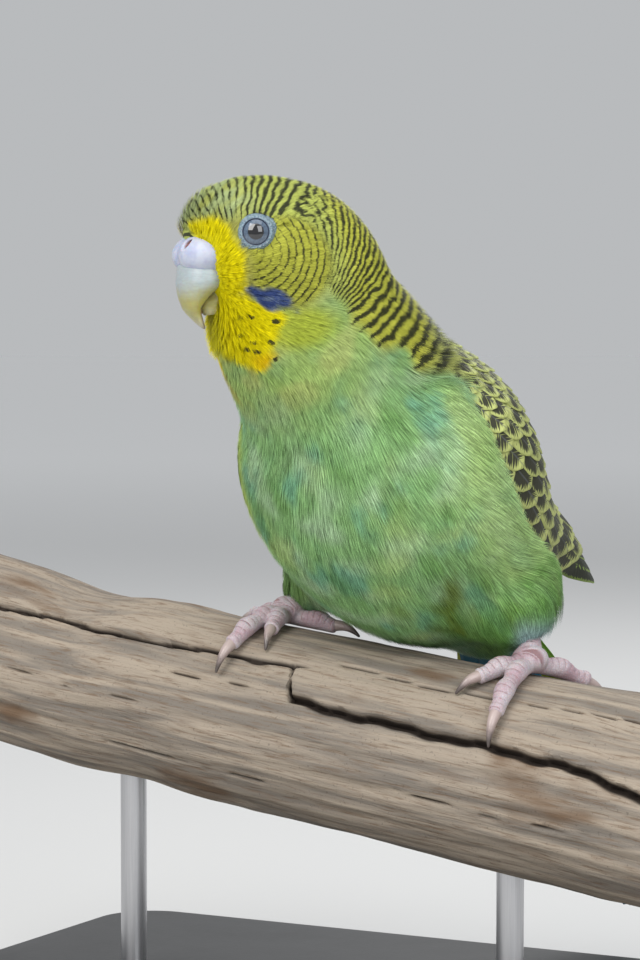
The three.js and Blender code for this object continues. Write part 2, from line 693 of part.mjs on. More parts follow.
function turnedTo(geometry, place, direction) {
  const turn = new THREE.Quaternion().setFromUnitVectors(V(0, 1, 0), direction.clone().normalize());
  return solid(geometry.applyQuaternion(turn).translate(...place.toArray()));
}
function eyeTools(side) {
  const place = onHead(EYE_PLACE.forward, side * EYE_PLACE.left, EYE_PLACE.up);
  const looks = onHead(EYE_LOOKS.forward, side * EYE_LOOKS.left, EYE_LOOKS.up).sub(HEAD_AT).normalize();
  const ball = (radius) => turnedTo(new THREE.SphereGeometry(radius, 14, 10), place, looks);
  // The ring lies round the front of the eyeball, its profile turned about the line of sight.
  const rim = Math.sqrt(EYE_RADIUS ** 2 - LID.inner ** 2);
  const lid = (extra) =>
    turnedTo(
      new THREE.LatheGeometry(
        [
          new THREE.Vector2(LID.inner - extra, rim - LID.under - extra),
          new THREE.Vector2(LID.outer + extra, rim - LID.under - extra),
          new THREE.Vector2(LID.outer + extra, rim - 0.15),
          new THREE.Vector2((LID.inner + LID.outer) / 2 + extra, rim + LID.over * 0.8 + extra),
          new THREE.Vector2(LID.inner - extra, rim + LID.over * 0.5 + extra),
          new THREE.Vector2(LID.inner - extra, rim - LID.under - extra),
        ],
        16,
      ),
      place,
      looks,
    );
  return { ball, lid };
}

// Slices of the bill, from the cere down: height, back and front edges, and half its width.
const UPPER_BILL = [
  [0.2, 6.2, 13.4, 3.2],
  [-1.8, 6.4, 14, 3.5],
  [-3.8, 7.2, 13.9, 3.3],
  [-5.4, 9, 13.5, 2.8],
  [-6.8, 10.4, 12.9, 2.1],
  [-8, 10.8, 12.2, 1.4],
  [-9, 10.8, 11.6, 0.8],
  [-9.7, 10.7, 11.1, 0.3],
];
const LOWER_BILL = [
  [-3.8, 3.8, 8.8, 2.5],
  [-5.6, 4.2, 10.4, 2.6],
  [-7, 4.8, 10.8, 2.4],
  [-8.2, 5.5, 10.4, 1.8],
  [-9, 6.2, 9.6, 1],
];
const billSlice = ([up, back, front, halfWidth], grown, count = 12) =>
  Array.from({ length: count }, (_, j) => {
    const angle = (j / count) * 2 * Math.PI;
    const forward = (back + front) / 2 + (Math.cos(angle) * (front - back + 2 * grown)) / 2;
    // Rounder in front, squarer behind.
    const bulge = Math.cos(angle) < 0 ? 0.7 : 0.9;
    const across = Math.sign(Math.sin(angle)) * Math.abs(Math.sin(angle)) ** bulge * (halfWidth + grown);
    return onHead(forward, across, up);
  });
function bill(slices, grown = 0) {
  const rings = slices.map((slice) => billSlice(slice, grown));
  rings[0].forEach((p) => p.addScaledVector(HEAD.up, grown));
  rings.at(-1).forEach((p) => p.addScaledVector(HEAD.up, -grown));
  return loft(rings);
}

const CERE = { forward: 9.8, left: 2.3, up: 1.2, half: [2.9, 3.8, 2.7] };
const NOSTRIL = { forward: 12.9, left: 1.8, up: 2.1, radius: 0.42 };
function cereForm(grown = 0) {
  const lobes = [-1, 1].map((side) => {
    const [w, l, d] = CERE.half.map((h) => h + grown);
    const lobe = new THREE.SphereGeometry(1, 12, 8).scale(w, l, d);
    const basis = new THREE.Matrix4().makeBasis(HEAD.left, HEAD.along, HEAD.up);
    const at = onHead(CERE.forward, side * CERE.left, CERE.up);
    return solid(lobe.applyMatrix4(basis).translate(...at.toArray()));
  });
  return join(...lobes);
}
function nostrilTool(side) {
  const hole = new THREE.CylinderGeometry(NOSTRIL.radius, NOSTRIL.radius * 0.8, 2.2, 8);
  return turnedTo(hole, onHead(NOSTRIL.forward, side * NOSTRIL.left, NOSTRIL.up), HEAD.along);
}

function makeHead(whole) {
  const tools = [];
  for (const [sideName, side] of [["left", 1], ["right", -1]]) {
    const { ball, lid } = eyeTools(side);
    node(`eye_${sideName}`, ball(EYE_RADIUS), "eye");
    node(`eye_ring_${sideName}`, cut(lid(0), ball(EYE_RADIUS + GAP)), "lid");
    tools.push(ball(EYE_RADIUS + GAP), lid(GAP));
  }
  node("cere", cut(cereForm(), nostrilTool(1), nostrilTool(-1)), "cere");
  node("bill_upper", cut(bill(UPPER_BILL), cereForm(GAP)), "bill");
  node("bill_lower", cut(bill(LOWER_BILL), bill(UPPER_BILL, GAP)), "bill");
  tools.push(cereForm(GAP), bill(UPPER_BILL, GAP), bill(LOWER_BILL, GAP));
  node("head", cut(whole, ...tools), "face");
}

// Parting the body: the head from the neck, and the neck from the torso
const NECK_TOP = { at: V(-1.5, -21, 51.5), pitch: 46 };
const NECK_BASE = { at: V(0, -15, 41), pitch: 54 };
const slope = ({ pitch }) => V(0, -Math.cos(rad(pitch)), Math.sin(rad(pitch)));

function makeBody() {
  const whole = bodyForm();
  const grown = bodyForm(GAP);
  const [top, base] = [slope(NECK_TOP), slope(NECK_BASE)];
  const below = sideOf(whole, top.clone().negate(), NECK_TOP.at);
  makeHead(sideOf(whole, top, NECK_TOP.at));
  node("neck", sideOf(below, base, NECK_BASE.at), "barred");
  const rooms = [perchForm(GAP), footRoom("left"), footRoom("right")];
  node("torso", cut(sideOf(below, base.negate(), NECK_BASE.at), ...rooms), "green");
  return grown;
}

makeStand();
makePerch();
const bodyGrown = makeBody();
makeTail(bodyGrown);
for (const sideName of ["left", "right"]) {
  makeFoot(sideName);
  makeThigh(sideName, bodyGrown);
  makeWing(sideName);
}
model.position.z = CREST_HEIGHT;

export default model;
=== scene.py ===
import math

import bmesh
import bpy
import numpy as np
from mathutils import Matrix, Vector


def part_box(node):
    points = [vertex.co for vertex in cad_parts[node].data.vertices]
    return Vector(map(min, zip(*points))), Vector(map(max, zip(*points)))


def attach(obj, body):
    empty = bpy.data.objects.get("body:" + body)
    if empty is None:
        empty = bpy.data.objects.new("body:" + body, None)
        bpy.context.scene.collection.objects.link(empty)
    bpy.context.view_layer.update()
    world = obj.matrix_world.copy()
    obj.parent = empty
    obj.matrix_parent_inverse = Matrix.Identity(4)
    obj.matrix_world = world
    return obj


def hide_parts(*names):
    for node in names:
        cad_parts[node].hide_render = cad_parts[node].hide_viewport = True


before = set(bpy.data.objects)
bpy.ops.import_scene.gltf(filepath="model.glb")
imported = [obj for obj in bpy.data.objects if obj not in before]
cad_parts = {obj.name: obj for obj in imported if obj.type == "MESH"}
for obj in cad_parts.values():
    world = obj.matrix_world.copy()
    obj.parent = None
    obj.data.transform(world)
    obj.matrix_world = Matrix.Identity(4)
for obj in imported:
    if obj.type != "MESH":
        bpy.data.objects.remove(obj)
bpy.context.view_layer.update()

# Display stand: a flat board of black painted wood, its corners rounded and its top edge eased.
# Two satin steel rods are let into it and run up into the perch. Both sit where the frame has them.
BOARD_LENGTH = 0.122
BOARD_DEPTH = 0.078
BOARD_THICKNESS = 0.008
BOARD_CORNER = 0.010
BOARD_EASING = 0.0009
BOARD_TURN = math.radians(12)
BOARD_MIDDLE = Vector((-0.014, 0.004, BOARD_THICKNESS / 2))
PAINT_BLACK = (0.012, 0.012, 0.013)
PAINT_RUBBED = (0.030, 0.028, 0.027)
STEEL_PALE = (0.62, 0.62, 0.63)
STEEL_DARK = (0.42, 0.42, 0.44)


def add(finish, kind, inputs=(), **settings):
    """Adds a shader node to a finish. Each input is a value, or the output of another node."""
    tree = finish.node_tree
    made = tree.nodes.new("ShaderNode" + kind)
    for name, value in settings.items():
        setattr(made, name, value)
    for key, value in dict(inputs).items():
        if isinstance(value, bpy.types.NodeSocket):
            tree.links.new(value, made.inputs[key])
        else:
            made.inputs[key].default_value = value
    return made


def calc(finish, operation, *values):
    return add(finish, "Math", enumerate(values), operation=operation).outputs[0]


def step_up(finish, value, low, high):
    """Rises smoothly from 0 to 1 as the value goes from low to high."""
    inputs = {"Value": value, "From Min": low, "From Max": high}
    return add(finish, "MapRange", inputs, interpolation_type="SMOOTHSTEP").outputs[0]


def spread(finish, value, low, high):
    """A value from 0 to 1, spread from low to high."""
    return add(finish, "MapRange", {"Value": value, "To Min": low, "To Max": high}).outputs[0]


def tinted(finish, share, below, above):
    """A colour that goes from one to the other as the share rises. Each is plain or a socket."""
    pair = [(*tone, 1) if isinstance(tone, tuple) else tone for tone in (below, above)]
    return add(finish, "Mix", {0: share, 6: pair[0], 7: pair[1]}, data_type="RGBA").outputs[2]


def noise(finish, where, scale, detail=3, rough=0.55, twist=0.0):
    inputs = {"Vector": where, "Scale": scale, "Detail": detail, "Roughness": rough, "Distortion": twist}
    return add(finish, "TexNoise", inputs).outputs["Fac"]


def new_finish(name, **uniform):
    """A material whose uniform sockets are set by name. Colour, roughness and bump follow by links."""
    finish = bpy.data.materials.new(name)
    finish.use_nodes = True
    shader = finish.node_tree.nodes["Principled BSDF"]
    for socket, value in uniform.items():
        shader.inputs[socket.replace("_", " ")].default_value = value
    return finish


def wire(finish, colour=None, roughness=None, height=None, bump_reach=0.0003, bump_share=0.5):
    """Links what varies over a surface to its shader."""
    tree = finish.node_tree
    shader = tree.nodes["Principled BSDF"]
    for socket, value in {"Base Color": colour, "Roughness": roughness}.items():
        if value is not None:
            tree.links.new(value, shader.inputs[socket])
    if height is not None:
        bump = add(finish, "Bump", {"Height": height, "Distance": bump_reach, "Strength": bump_share})
        tree.links.new(bump.outputs[0], shader.inputs["Normal"])
    return finish


def object_place(finish):
    return add(finish, "TexCoord").outputs["Object"]


def mesh_from(shape, name):
    """A mesh from a shape, which is then let go."""
    mesh = bpy.data.meshes.new(name)
    shape.to_mesh(mesh)
    shape.free()
    return mesh


def keep_piece(name, mesh, finish, nodes=(), sharp_past=None):
    """Adds a finished mesh to the model, riding with the rest, in place of the nodes it stands for."""
    mesh.materials.append(finish)
    mesh.shade_smooth()
    if sharp_past is not None:
        mesh.set_sharp_from_angle(angle=math.radians(sharp_past))
    piece = bpy.data.objects.new(name, mesh)
    bpy.context.scene.collection.objects.link(piece)
    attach(piece, "root")
    if nodes:
        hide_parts(*nodes)
    return piece


black_paint = new_finish("black_paint", Coat_Weight=0.15, Coat_Roughness=0.4)
place = object_place(black_paint)
brushed = noise(black_paint, place, 60, 4)
rubbed = step_up(black_paint, noise(black_paint, place, 900, 2), 0.45, 0.8)
wire(
    black_paint,
    tinted(black_paint, calc(black_paint, "MULTIPLY", rubbed, brushed), PAINT_BLACK, PAINT_RUBBED),
    spread(black_paint, brushed, 0.36, 0.5),
    noise(black_paint, place, 1400, 2),
    bump_reach=0.00004,
)

board = bmesh.new()
bmesh.ops.create_cube(board, size=1)
bmesh.ops.scale(board, vec=(BOARD_LENGTH, BOARD_DEPTH, BOARD_THICKNESS), verts=board.verts)
uprights = [e for e in board.edges if abs(e.verts[0].co.z - e.verts[1].co.z) > BOARD_THICKNESS / 2]
bmesh.ops.bevel(
    board, geom=uprights, offset=BOARD_CORNER, segments=14, profile=0.5, affect="EDGES", material=-1
)
rim = [e for e in board.edges if min(v.co.z for v in e.verts) > BOARD_THICKNESS * 0.49]
bmesh.ops.bevel(
    board, geom=rim, offset=BOARD_EASING, segments=4, profile=0.5, affect="EDGES", material=-1
)
bmesh.ops.rotate(board, matrix=Matrix.Rotation(BOARD_TURN, 3, "Z"), verts=board.verts)
bmesh.ops.translate(board, vec=BOARD_MIDDLE, verts=board.verts)
board_mesh = mesh_from(board, "stand_board")
keep_piece("stand_board", board_mesh, black_paint, ["stand_base"], sharp_past=40)

satin_steel = new_finish("satin_steel", Metallic=1.0)
place = object_place(satin_steel)
drawn_place = add(satin_steel, "Mapping", {"Vector": place, "Scale": (1, 1, 0.02)}).outputs[0]
drawn = noise(satin_steel, drawn_place, 5000, 2)
wire(
    satin_steel,
    tinted(satin_steel, drawn, STEEL_DARK, STEEL_PALE),
    spread(satin_steel, drawn, 0.24, 0.4),
    drawn,
    bump_reach=0.00001,
)
for number in (1, 2):
    node = f"stand_rod_{number}"
    low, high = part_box(node)
    rod = bmesh.new()
    radius = (high.x - low.x) / 2
    bmesh.ops.create_cone(
        rod, cap_ends=True, segments=40, radius1=radius, radius2=radius, depth=high.z - low.z
    )
    bmesh.ops.translate(rod, vec=(low + high) / 2, verts=rod.verts)
    name = f"stand_post_{number}"
    keep_piece(name, mesh_from(rod, name), satin_steel, [node], sharp_past=40)

# Perch: a cut length of weathered branch, grey and furrowed along its grain, sawn across at both ends.
# Its wood has a long open split in front of the feet and a worn ledge beside them.
# Sizes here and for the bird are in millimetres over the perch's crest, as in the part's own source.
MM = 0.001
CREST = np.array([0, 0, 60.0])
PERCH_RADIUS = 14.1
PERCH_YAW = math.radians(12)
PERCH_FALL = math.radians(8)
PERCH_ENDS = (-82, 50)
PERCH_TAPER = 0.008
PERCH_BEND_FROM = -38
PERCH_BEND = 0.0012
PERCH_ALONG = np.array(
    [
        math.cos(PERCH_YAW) * math.cos(PERCH_FALL),
        math.sin(PERCH_YAW) * math.cos(PERCH_FALL),
        -math.sin(PERCH_FALL),
    ]
)
PERCH_FRONT = np.array([math.sin(PERCH_YAW), -math.cos(PERCH_YAW), 0])
PERCH_UP = np.cross(PERCH_FRONT, PERCH_ALONG)
# Each crack runs through places along the perch, and degrees round it from the crest.
CRACKS = [
    # places along, degrees, half-width in mm, depth in mm
    (
        [-14, -13.6, -12.6, -9, -1.4, 9, 21.5, 31, 37, 44, 52],
        [44, 55, 64, 66, 66.4, 67, 67.6, 68.7, 72, 78, 84],
        0.62,
        2.3,
    ),
    ([-82, -65, -55, -40, -30, -15, -10], [48, 47, 43, 47, 44, 43, 41], 0.3, 1.1),
    ([-11, 9, 27, 39, 52], [33, 38, 34, 29, 26], 0.16, 0.7),
    ([-37, -26, -14], [66, 63, 61], 0.14, 0.6),
    ([-44, -28, -11], [119, 120, 122], 0.14, 0.6),
    ([-70, -50, -34], [84, 88, 86], 0.14, 0.5),
    ([4, 20, 40], [104, 107, 104], 0.16, 0.6),
    ([-60, -20, 10, 40], [200, 205, 202, 206], 0.3, 1.0),
    ([-30, 0, 30], [262, 259, 263], 0.25, 0.9),
    ([-75, -50, -20], [300, 304, 301], 0.2, 0.8),
]
LATTICE_CELLS = 64
LEDGE_ANGLE = math.radians(44)
LEDGE_DROP = 0.7
WOOD_PALE = (0.34, 0.285, 0.225)
WOOD_GREY = (0.185, 0.162, 0.138)
WOOD_BROWN = (0.15, 0.095, 0.058)
WOOD_DARK = (0.03, 0.022, 0.017)


def placed(points):
    """Row-frame metres for points in millimetres over the crest."""
    return (points + CREST) * MM


def rise(value, low, high):
    """A smooth step for arrays, from 0 at low to 1 at high."""
    share = np.clip((value - low) / (high - low), 0, 1)
    return share * share * (3 - 2 * share)


def lattice_noise(seed):
    """Smooth noise between -1 and 1 over a plane, repeating after the lattice's cells each way."""
    cells = LATTICE_CELLS
    table = np.random.default_rng(seed).uniform(-1, 1, (cells, cells))

    def at(x, y):
        x0, y0 = np.floor(x), np.floor(y)
        u, v = x - x0, y - y0
        u, v = u * u * (3 - 2 * u), v * v * (3 - 2 * v)
        i, j = x0.astype(int) % cells, y0.astype(int) % cells
        i1, j1 = (i + 1) % cells, (j + 1) % cells
        low = table[i, j] * (1 - u) + table[i1, j] * u
        return low * (1 - v) + (table[i, j1] * (1 - u) + table[i1, j1] * u) * v

    return at


def perch_radius(along, angle):
    """The worn branch's radius: the same swells as the frame's, even under the feet."""
    knot = 0.9 * np.exp(-(((along + 40) / 9) ** 2)) * np.cos(angle)
    dip = -0.9 * np.exp(-(((along + 54) / 8) ** 2)) * np.maximum(0, np.cos(angle))
    wave = 0.35 * np.sin(along / 17 + 2 * angle) + 0.25 * np.sin(3 * angle + along / 29)
    return PERCH_RADIUS + PERCH_TAPER * along + (knot + dip + wave) * rise(np.abs(along), 24, 40)


def perch_point(along, angle, height):
    """Where the perch's surface lies, raised by a height, at an angle from the crest to the front."""
    along, angle = np.broadcast_arrays(np.asarray(along, float), np.asarray(angle, float))
    past = np.maximum(0, PERCH_BEND_FROM - along)
    reach = (perch_radius(along, angle) + height)[..., None]
    middle = along[..., None] * PERCH_ALONG + (PERCH_BEND * past**2)[..., None] * PERCH_UP
    middle = middle - np.array([0, 0, PERCH_RADIUS])
    return middle + reach * (np.cos(angle)[..., None] * PERCH_UP + np.sin(angle)[..., None] * PERCH_FRONT)


def crack_fields(along, angle):
    """How deep the cracks go at each place, and how much painted shade darkens them there."""
    depth = np.zeros_like(along)
    dark = np.zeros_like(along)
    for number, (places, degrees, half, deep) in enumerate(CRACKS):
        wander = 0.35 * np.sin(along / 2.3 + number) + 0.2 * np.sin(along / 0.9 + 2 * number)
        off = np.degrees(angle) % 360 - np.interp(along, places, degrees)
        off = (off * math.radians(1) * PERCH_RADIUS + wander * half) / half
        ends = 1 - rise(along, places[-1] - 6, places[-1] + 1)
        if number == 0:
            ends = ends * rise(along, -14.6, -13.6)
        elif places[0] >= -80:
            ends = ends * rise(along, places[0] - 1, places[0] + 4)
        gap = np.exp(-np.abs(off) ** 3) * ends
        depth += deep * gap
        dark = np.maximum(dark, np.exp(-np.abs(off / 1.15) ** 3) * ends * min(1, deep / 0.9))
    return depth, dark


def read_points(mesh, what="co"):
    """The places or the normals of a mesh's points, as they are kept."""
    flat = np.empty(len(mesh.vertices) * 3)
    mesh.vertices.foreach_get(what, flat)
    return flat.reshape(-1, 3)


def wrapped(steps, around, at):
    """A tube from a flat grid: at gives points for the shares along and round it."""
    tube = bmesh.new()
    bmesh.ops.create_grid(tube, x_segments=steps, y_segments=around, size=0.5)
    mesh = mesh_from(tube, "tube")
    flat = read_points(mesh)
    points = at(flat[:, 0] + 0.5, (flat[:, 1] + 0.5) % 1.0)
    mesh.vertices.foreach_set("co", placed(points).ravel())
    tube = bmesh.new()
    tube.from_mesh(mesh)
    bpy.data.meshes.remove(mesh)
    bmesh.ops.remove_doubles(tube, verts=tube.verts, dist=1e-7)
    bmesh.ops.recalc_face_normals(tube, faces=tube.faces)
    return tube


def set_field(mesh, name, values, kind="FLOAT"):
    """Keeps a value or a colour for each point of a mesh, which its finish reads."""
    field = mesh.attributes.new(name, kind, "POINT")
    values = np.asarray(values, np.float32)
    if kind == "FLOAT_COLOR":
        values = np.hstack([values, np.ones((len(values), 1), np.float32)])
    field.data.foreach_set("color" if kind == "FLOAT_COLOR" else "value", values.ravel())


def read_field(finish, name, socket="Fac"):
    return add(finish, "Attribute", attribute_name=name).outputs[socket]


def points_of(mesh):
    """A mesh's points, in millimetres over the crest."""
    return read_points(mesh) / MM - CREST


def perch_place(points):
    """The place along the perch and the angle round it, for points near its surface."""
    off = points + np.array([0, 0, PERCH_RADIUS])
    along = off @ PERCH_ALONG
    off = off - along[:, None] * PERCH_ALONG
    off = off - (PERCH_BEND * np.maximum(0, PERCH_BEND_FROM - along) ** 2)[:, None] * PERCH_UP
    return along, np.arctan2(off @ PERCH_FRONT, off @ PERCH_UP)


coarse_grain = lattice_noise(3)
fine_grain = lattice_noise(4)
swell = lattice_noise(5)


def worn_wood(share_along, share_round):
    along = PERCH_ENDS[0] + share_along * (PERCH_ENDS[1] - PERCH_ENDS[0])
    angle = share_round * 2 * math.pi
    under_feet = (1 - rise(np.abs(along), 26, 36)) * (1 - rise(np.abs(np.sin(angle / 2)), 0.5, 0.62))
    depth, _ = crack_fields(along, angle)
    bend = 0.4 * np.sin(along / 13)
    furrows = 0.13 * coarse_grain(along / 9, share_round * LATTICE_CELLS + bend)
    furrows += 0.07 * fine_grain(along / 4, share_round * 2 * LATTICE_CELLS + 2 * bend)
    rolling = 0.4 * swell(along / 22, share_round * LATTICE_CELLS) * (1 - under_feet)
    off_ledge = (angle - LEDGE_ANGLE) * PERCH_RADIUS
    ledge = -LEDGE_DROP * rise(off_ledge, -0.3, 0.5) * (1 - rise(off_ledge, 1, 9))
    ledge = ledge * (1 - rise(along, -22, -12))
    height = np.minimum(furrows + rolling + ledge - depth, np.where(under_feet > 0.05, 0.12, 9))
    return perch_point(along, angle, height)


perch_shape = wrapped(430, 208, worn_wood)
open_rims = [e for e in perch_shape.edges if e.is_boundary]
sawn = bmesh.ops.holes_fill(perch_shape, edges=open_rims)["faces"]
bmesh.ops.recalc_face_normals(perch_shape, faces=perch_shape.faces)
for face in sawn:
    for edge in face.edges:
        edge.smooth = False

driftwood = new_finish("driftwood", Specular_IOR_Level=0.25)
place = object_place(driftwood)
turn = Matrix([PERCH_ALONG, PERCH_FRONT, PERCH_UP]).transposed().to_euler()
turned = {"Vector": place, "Rotation": turn}
grain_place = add(driftwood, "Mapping", turned, vector_type="TEXTURE").outputs[0]
stretched = add(driftwood, "Mapping", {"Vector": grain_place, "Scale": (0.07, 1, 1)}).outputs[0]
fibres = noise(driftwood, stretched, 2600, 4, 0.65, 0.2)
bands = noise(driftwood, stretched, 420, 4, 0.6, 0.6)
shortened = add(driftwood, "Mapping", {"Vector": grain_place, "Scale": (0.4, 1, 1)}).outputs[0]
patches = noise(driftwood, shortened, 110, 3)
specks = noise(driftwood, place, 2600, 2)
crack_shade = read_field(driftwood, "crack_shade")
wood_colour = tinted(driftwood, step_up(driftwood, bands, 0.36, 0.62), WOOD_GREY, WOOD_PALE)
wood_colour = tinted(driftwood, step_up(driftwood, patches, 0.56, 0.74), wood_colour, WOOD_BROWN)
thread = calc(driftwood, "MULTIPLY", step_up(driftwood, fibres, 0.52, 0.3), 0.7)
wood_colour = tinted(driftwood, thread, wood_colour, WOOD_BROWN)
specked = calc(driftwood, "MULTIPLY", step_up(driftwood, specks, 0.6, 0.75), 0.35)
wood_colour = tinted(driftwood, specked, wood_colour, WOOD_DARK)
# Painted shade in the cracks: the wood darkens where they open.
wood_colour = tinted(driftwood, step_up(driftwood, crack_shade, 0.15, 0.75), wood_colour, WOOD_DARK)
wire(
    driftwood,
    wood_colour,
    spread(driftwood, fibres, 0.72, 0.95),
    calc(driftwood, "ADD", fibres, calc(driftwood, "MULTIPLY", bands, 0.8)),
    bump_reach=0.00025,
    bump_share=0.75,
)
perch_mesh = mesh_from(perch_shape, "driftwood_perch")
set_field(perch_mesh, "crack_shade", crack_fields(*perch_place(points_of(perch_mesh)))[1])
keep_piece("driftwood_perch", perch_mesh, driftwood, ["perch"], sharp_past=70)

# Feet: mauve-grey skin in small plates, with broad scutes over each toe and soft pads under it.
# Two toes point forwards over the perch and two back. The shank runs up into the feathers of the thigh.
PERCH_GAP = 0.3
TOE_RADIUS = 1.55
TOE_TIP = 0.5
BALL_RADIUS = 2.5
SHANK_RADII = (1.95, 1.65, 1.5, 1.6, 1.9)
SCUTE_PITCH = 0.95
SCUTE_RELIEF = 0.13
FOOT_VOXEL = 0.00014
SKIN_MAUVE = (0.42, 0.30, 0.34)
SKIN_PALE = (0.52, 0.47, 0.50)
SKIN_CREASE_SHADE = (0.27, 0.16, 0.17)
CLAW_PALE = (0.42, 0.33, 0.31)
CLAW_DARK = (0.075, 0.058, 0.052)
# Each toe: its heading on the left and on the right foot, its length and its claw's length
TOES = {
    "inner_front": (-30, -14, 8.4, 3.8),
    "outer_front": (4, 8, 13.4, 4.6),
    "outer_rear": (142, 126, 9.4, 4.2),
    "inner_rear": (-142, -98, 7.6, 3.6),
}
# Each foot: the bird's side, its place along and round the perch, and its heel
FEET = {"left": (1, 18.6, -0.02, (14, 12, 9.5)), "right": (-1, -22.6, -0.16, (-15.5, 4.5, 11.5))}


def toe_path(foot, heading, reach, lift):
    """Points along a toe that follows the perch, lifted off it."""
    side, along, angle, _ = foot
    turned = math.radians(heading)
    run = along + side * math.sin(turned) * reach
    turned_round = angle + math.cos(turned) * reach / (PERCH_RADIUS + TOE_RADIUS)
    return perch_point(run, turned_round, PERCH_GAP + lift)


def limb(line, radii, steps=70, around=26, easing=0.07):
    """A tube of changing thickness along a line, with rounded ends."""
    knots = np.linspace(0, 1, len(line))

    def centre(share):
        return np.stack([np.interp(share, knots, line[:, k]) for k in range(3)], 1)

    def at(share, turn):
        along = centre(np.minimum(share + 0.02, 1)) - centre(np.maximum(share - 0.02, 0))
        side = np.cross([0, 0, 1.0], along)
        side /= np.linalg.norm(side, axis=1)[:, None]
        up = np.cross(along, side)
        up /= np.linalg.norm(up, axis=1)[:, None]
        near_end = np.clip(np.minimum(share, 1 - share) / easing, 0, 1)
        radius = np.interp(share, knots, radii) * np.sqrt(1 - (1 - near_end) ** 2)
        turn = (turn * 2 * math.pi)[:, None]
        return centre(share) + radius[:, None] * (np.cos(turn) * side + np.sin(turn) * up)

    return wrapped(steps, around, at)


def gathered(shapes):
    """Several shapes in one."""
    whole = bmesh.new()
    for shape in shapes:
        mesh = mesh_from(shape, "part")
        whole.from_mesh(mesh)
        bpy.data.meshes.remove(mesh)
    return whole


def melted_together(shape, voxel, smoothing):
    """One even closed skin over shapes that run into each other."""
    mesh = mesh_from(shape, "melted")
    thing = bpy.data.objects.new("melted", mesh)
    bpy.context.scene.collection.objects.link(thing)
    remesh = thing.modifiers.new("remesh", "REMESH")
    remesh.mode = "VOXEL"
    remesh.voxel_size = voxel
    smooth = thing.modifiers.new("smooth", "SMOOTH")
    smooth.factor = 0.5
    smooth.iterations = smoothing
    graph = bpy.context.evaluated_depsgraph_get()
    result = bpy.data.meshes.new_from_object(thing.evaluated_get(graph))
    bpy.data.objects.remove(thing)
    return result


def set_points(mesh, points):
    mesh.vertices.foreach_set("co", placed(points).ravel())
    mesh.update()


foot_skin = new_finish(
    "foot_skin", Specular_IOR_Level=0.4, Subsurface_Weight=0.12, Subsurface_Scale=0.0006
)
place = object_place(foot_skin)
crease_shade = read_field(foot_skin, "crease_shade")
plates = {"Vector": place, "Scale": 2600}
grains = add(foot_skin, "TexVoronoi", plates, feature="DISTANCE_TO_EDGE").outputs[0]
blush = noise(foot_skin, place, 260, 3)
colour = tinted(foot_skin, step_up(foot_skin, blush, 0.35, 0.65), SKIN_MAUVE, SKIN_PALE)
# Painted shade in a darker pink fills the grooves between the small plates and between the scutes.
shade_between_plates = calc(foot_skin, "MULTIPLY", step_up(foot_skin, grains, 0.12, 0.0), 0.35)
colour = tinted(foot_skin, shade_between_plates, colour, SKIN_CREASE_SHADE)
colour = tinted(foot_skin, step_up(foot_skin, crease_shade, 0.2, 1.0), colour, SKIN_CREASE_SHADE)
wire(
    foot_skin,
    colour,
    spread(foot_skin, blush, 0.42, 0.6),
    step_up(foot_skin, grains, 0.0, 0.25),
    bump_reach=0.00006,
)
claw_horn = new_finish("claw_horn", Specular_IOR_Level=0.5, Coat_Weight=0.3, Coat_Roughness=0.25)
place = object_place(claw_horn)
reach = read_field(claw_horn, "reach")
layers = noise(claw_horn, place, 1800, 3)
mottled = calc(claw_horn, "ADD", reach, calc(claw_horn, "MULTIPLY", layers, 0.25))
wire(
    claw_horn,
    tinted(claw_horn, step_up(claw_horn, mottled, 0.45, 1.0), CLAW_PALE, CLAW_DARK),
    spread(claw_horn, layers, 0.25, 0.4),
    layers,
    bump_reach=0.00003,
)


def claw_rise(share):
    return 1.05 + (0.15 - 1.05) * share**2 + 0.35 * np.sin(share * math.pi)


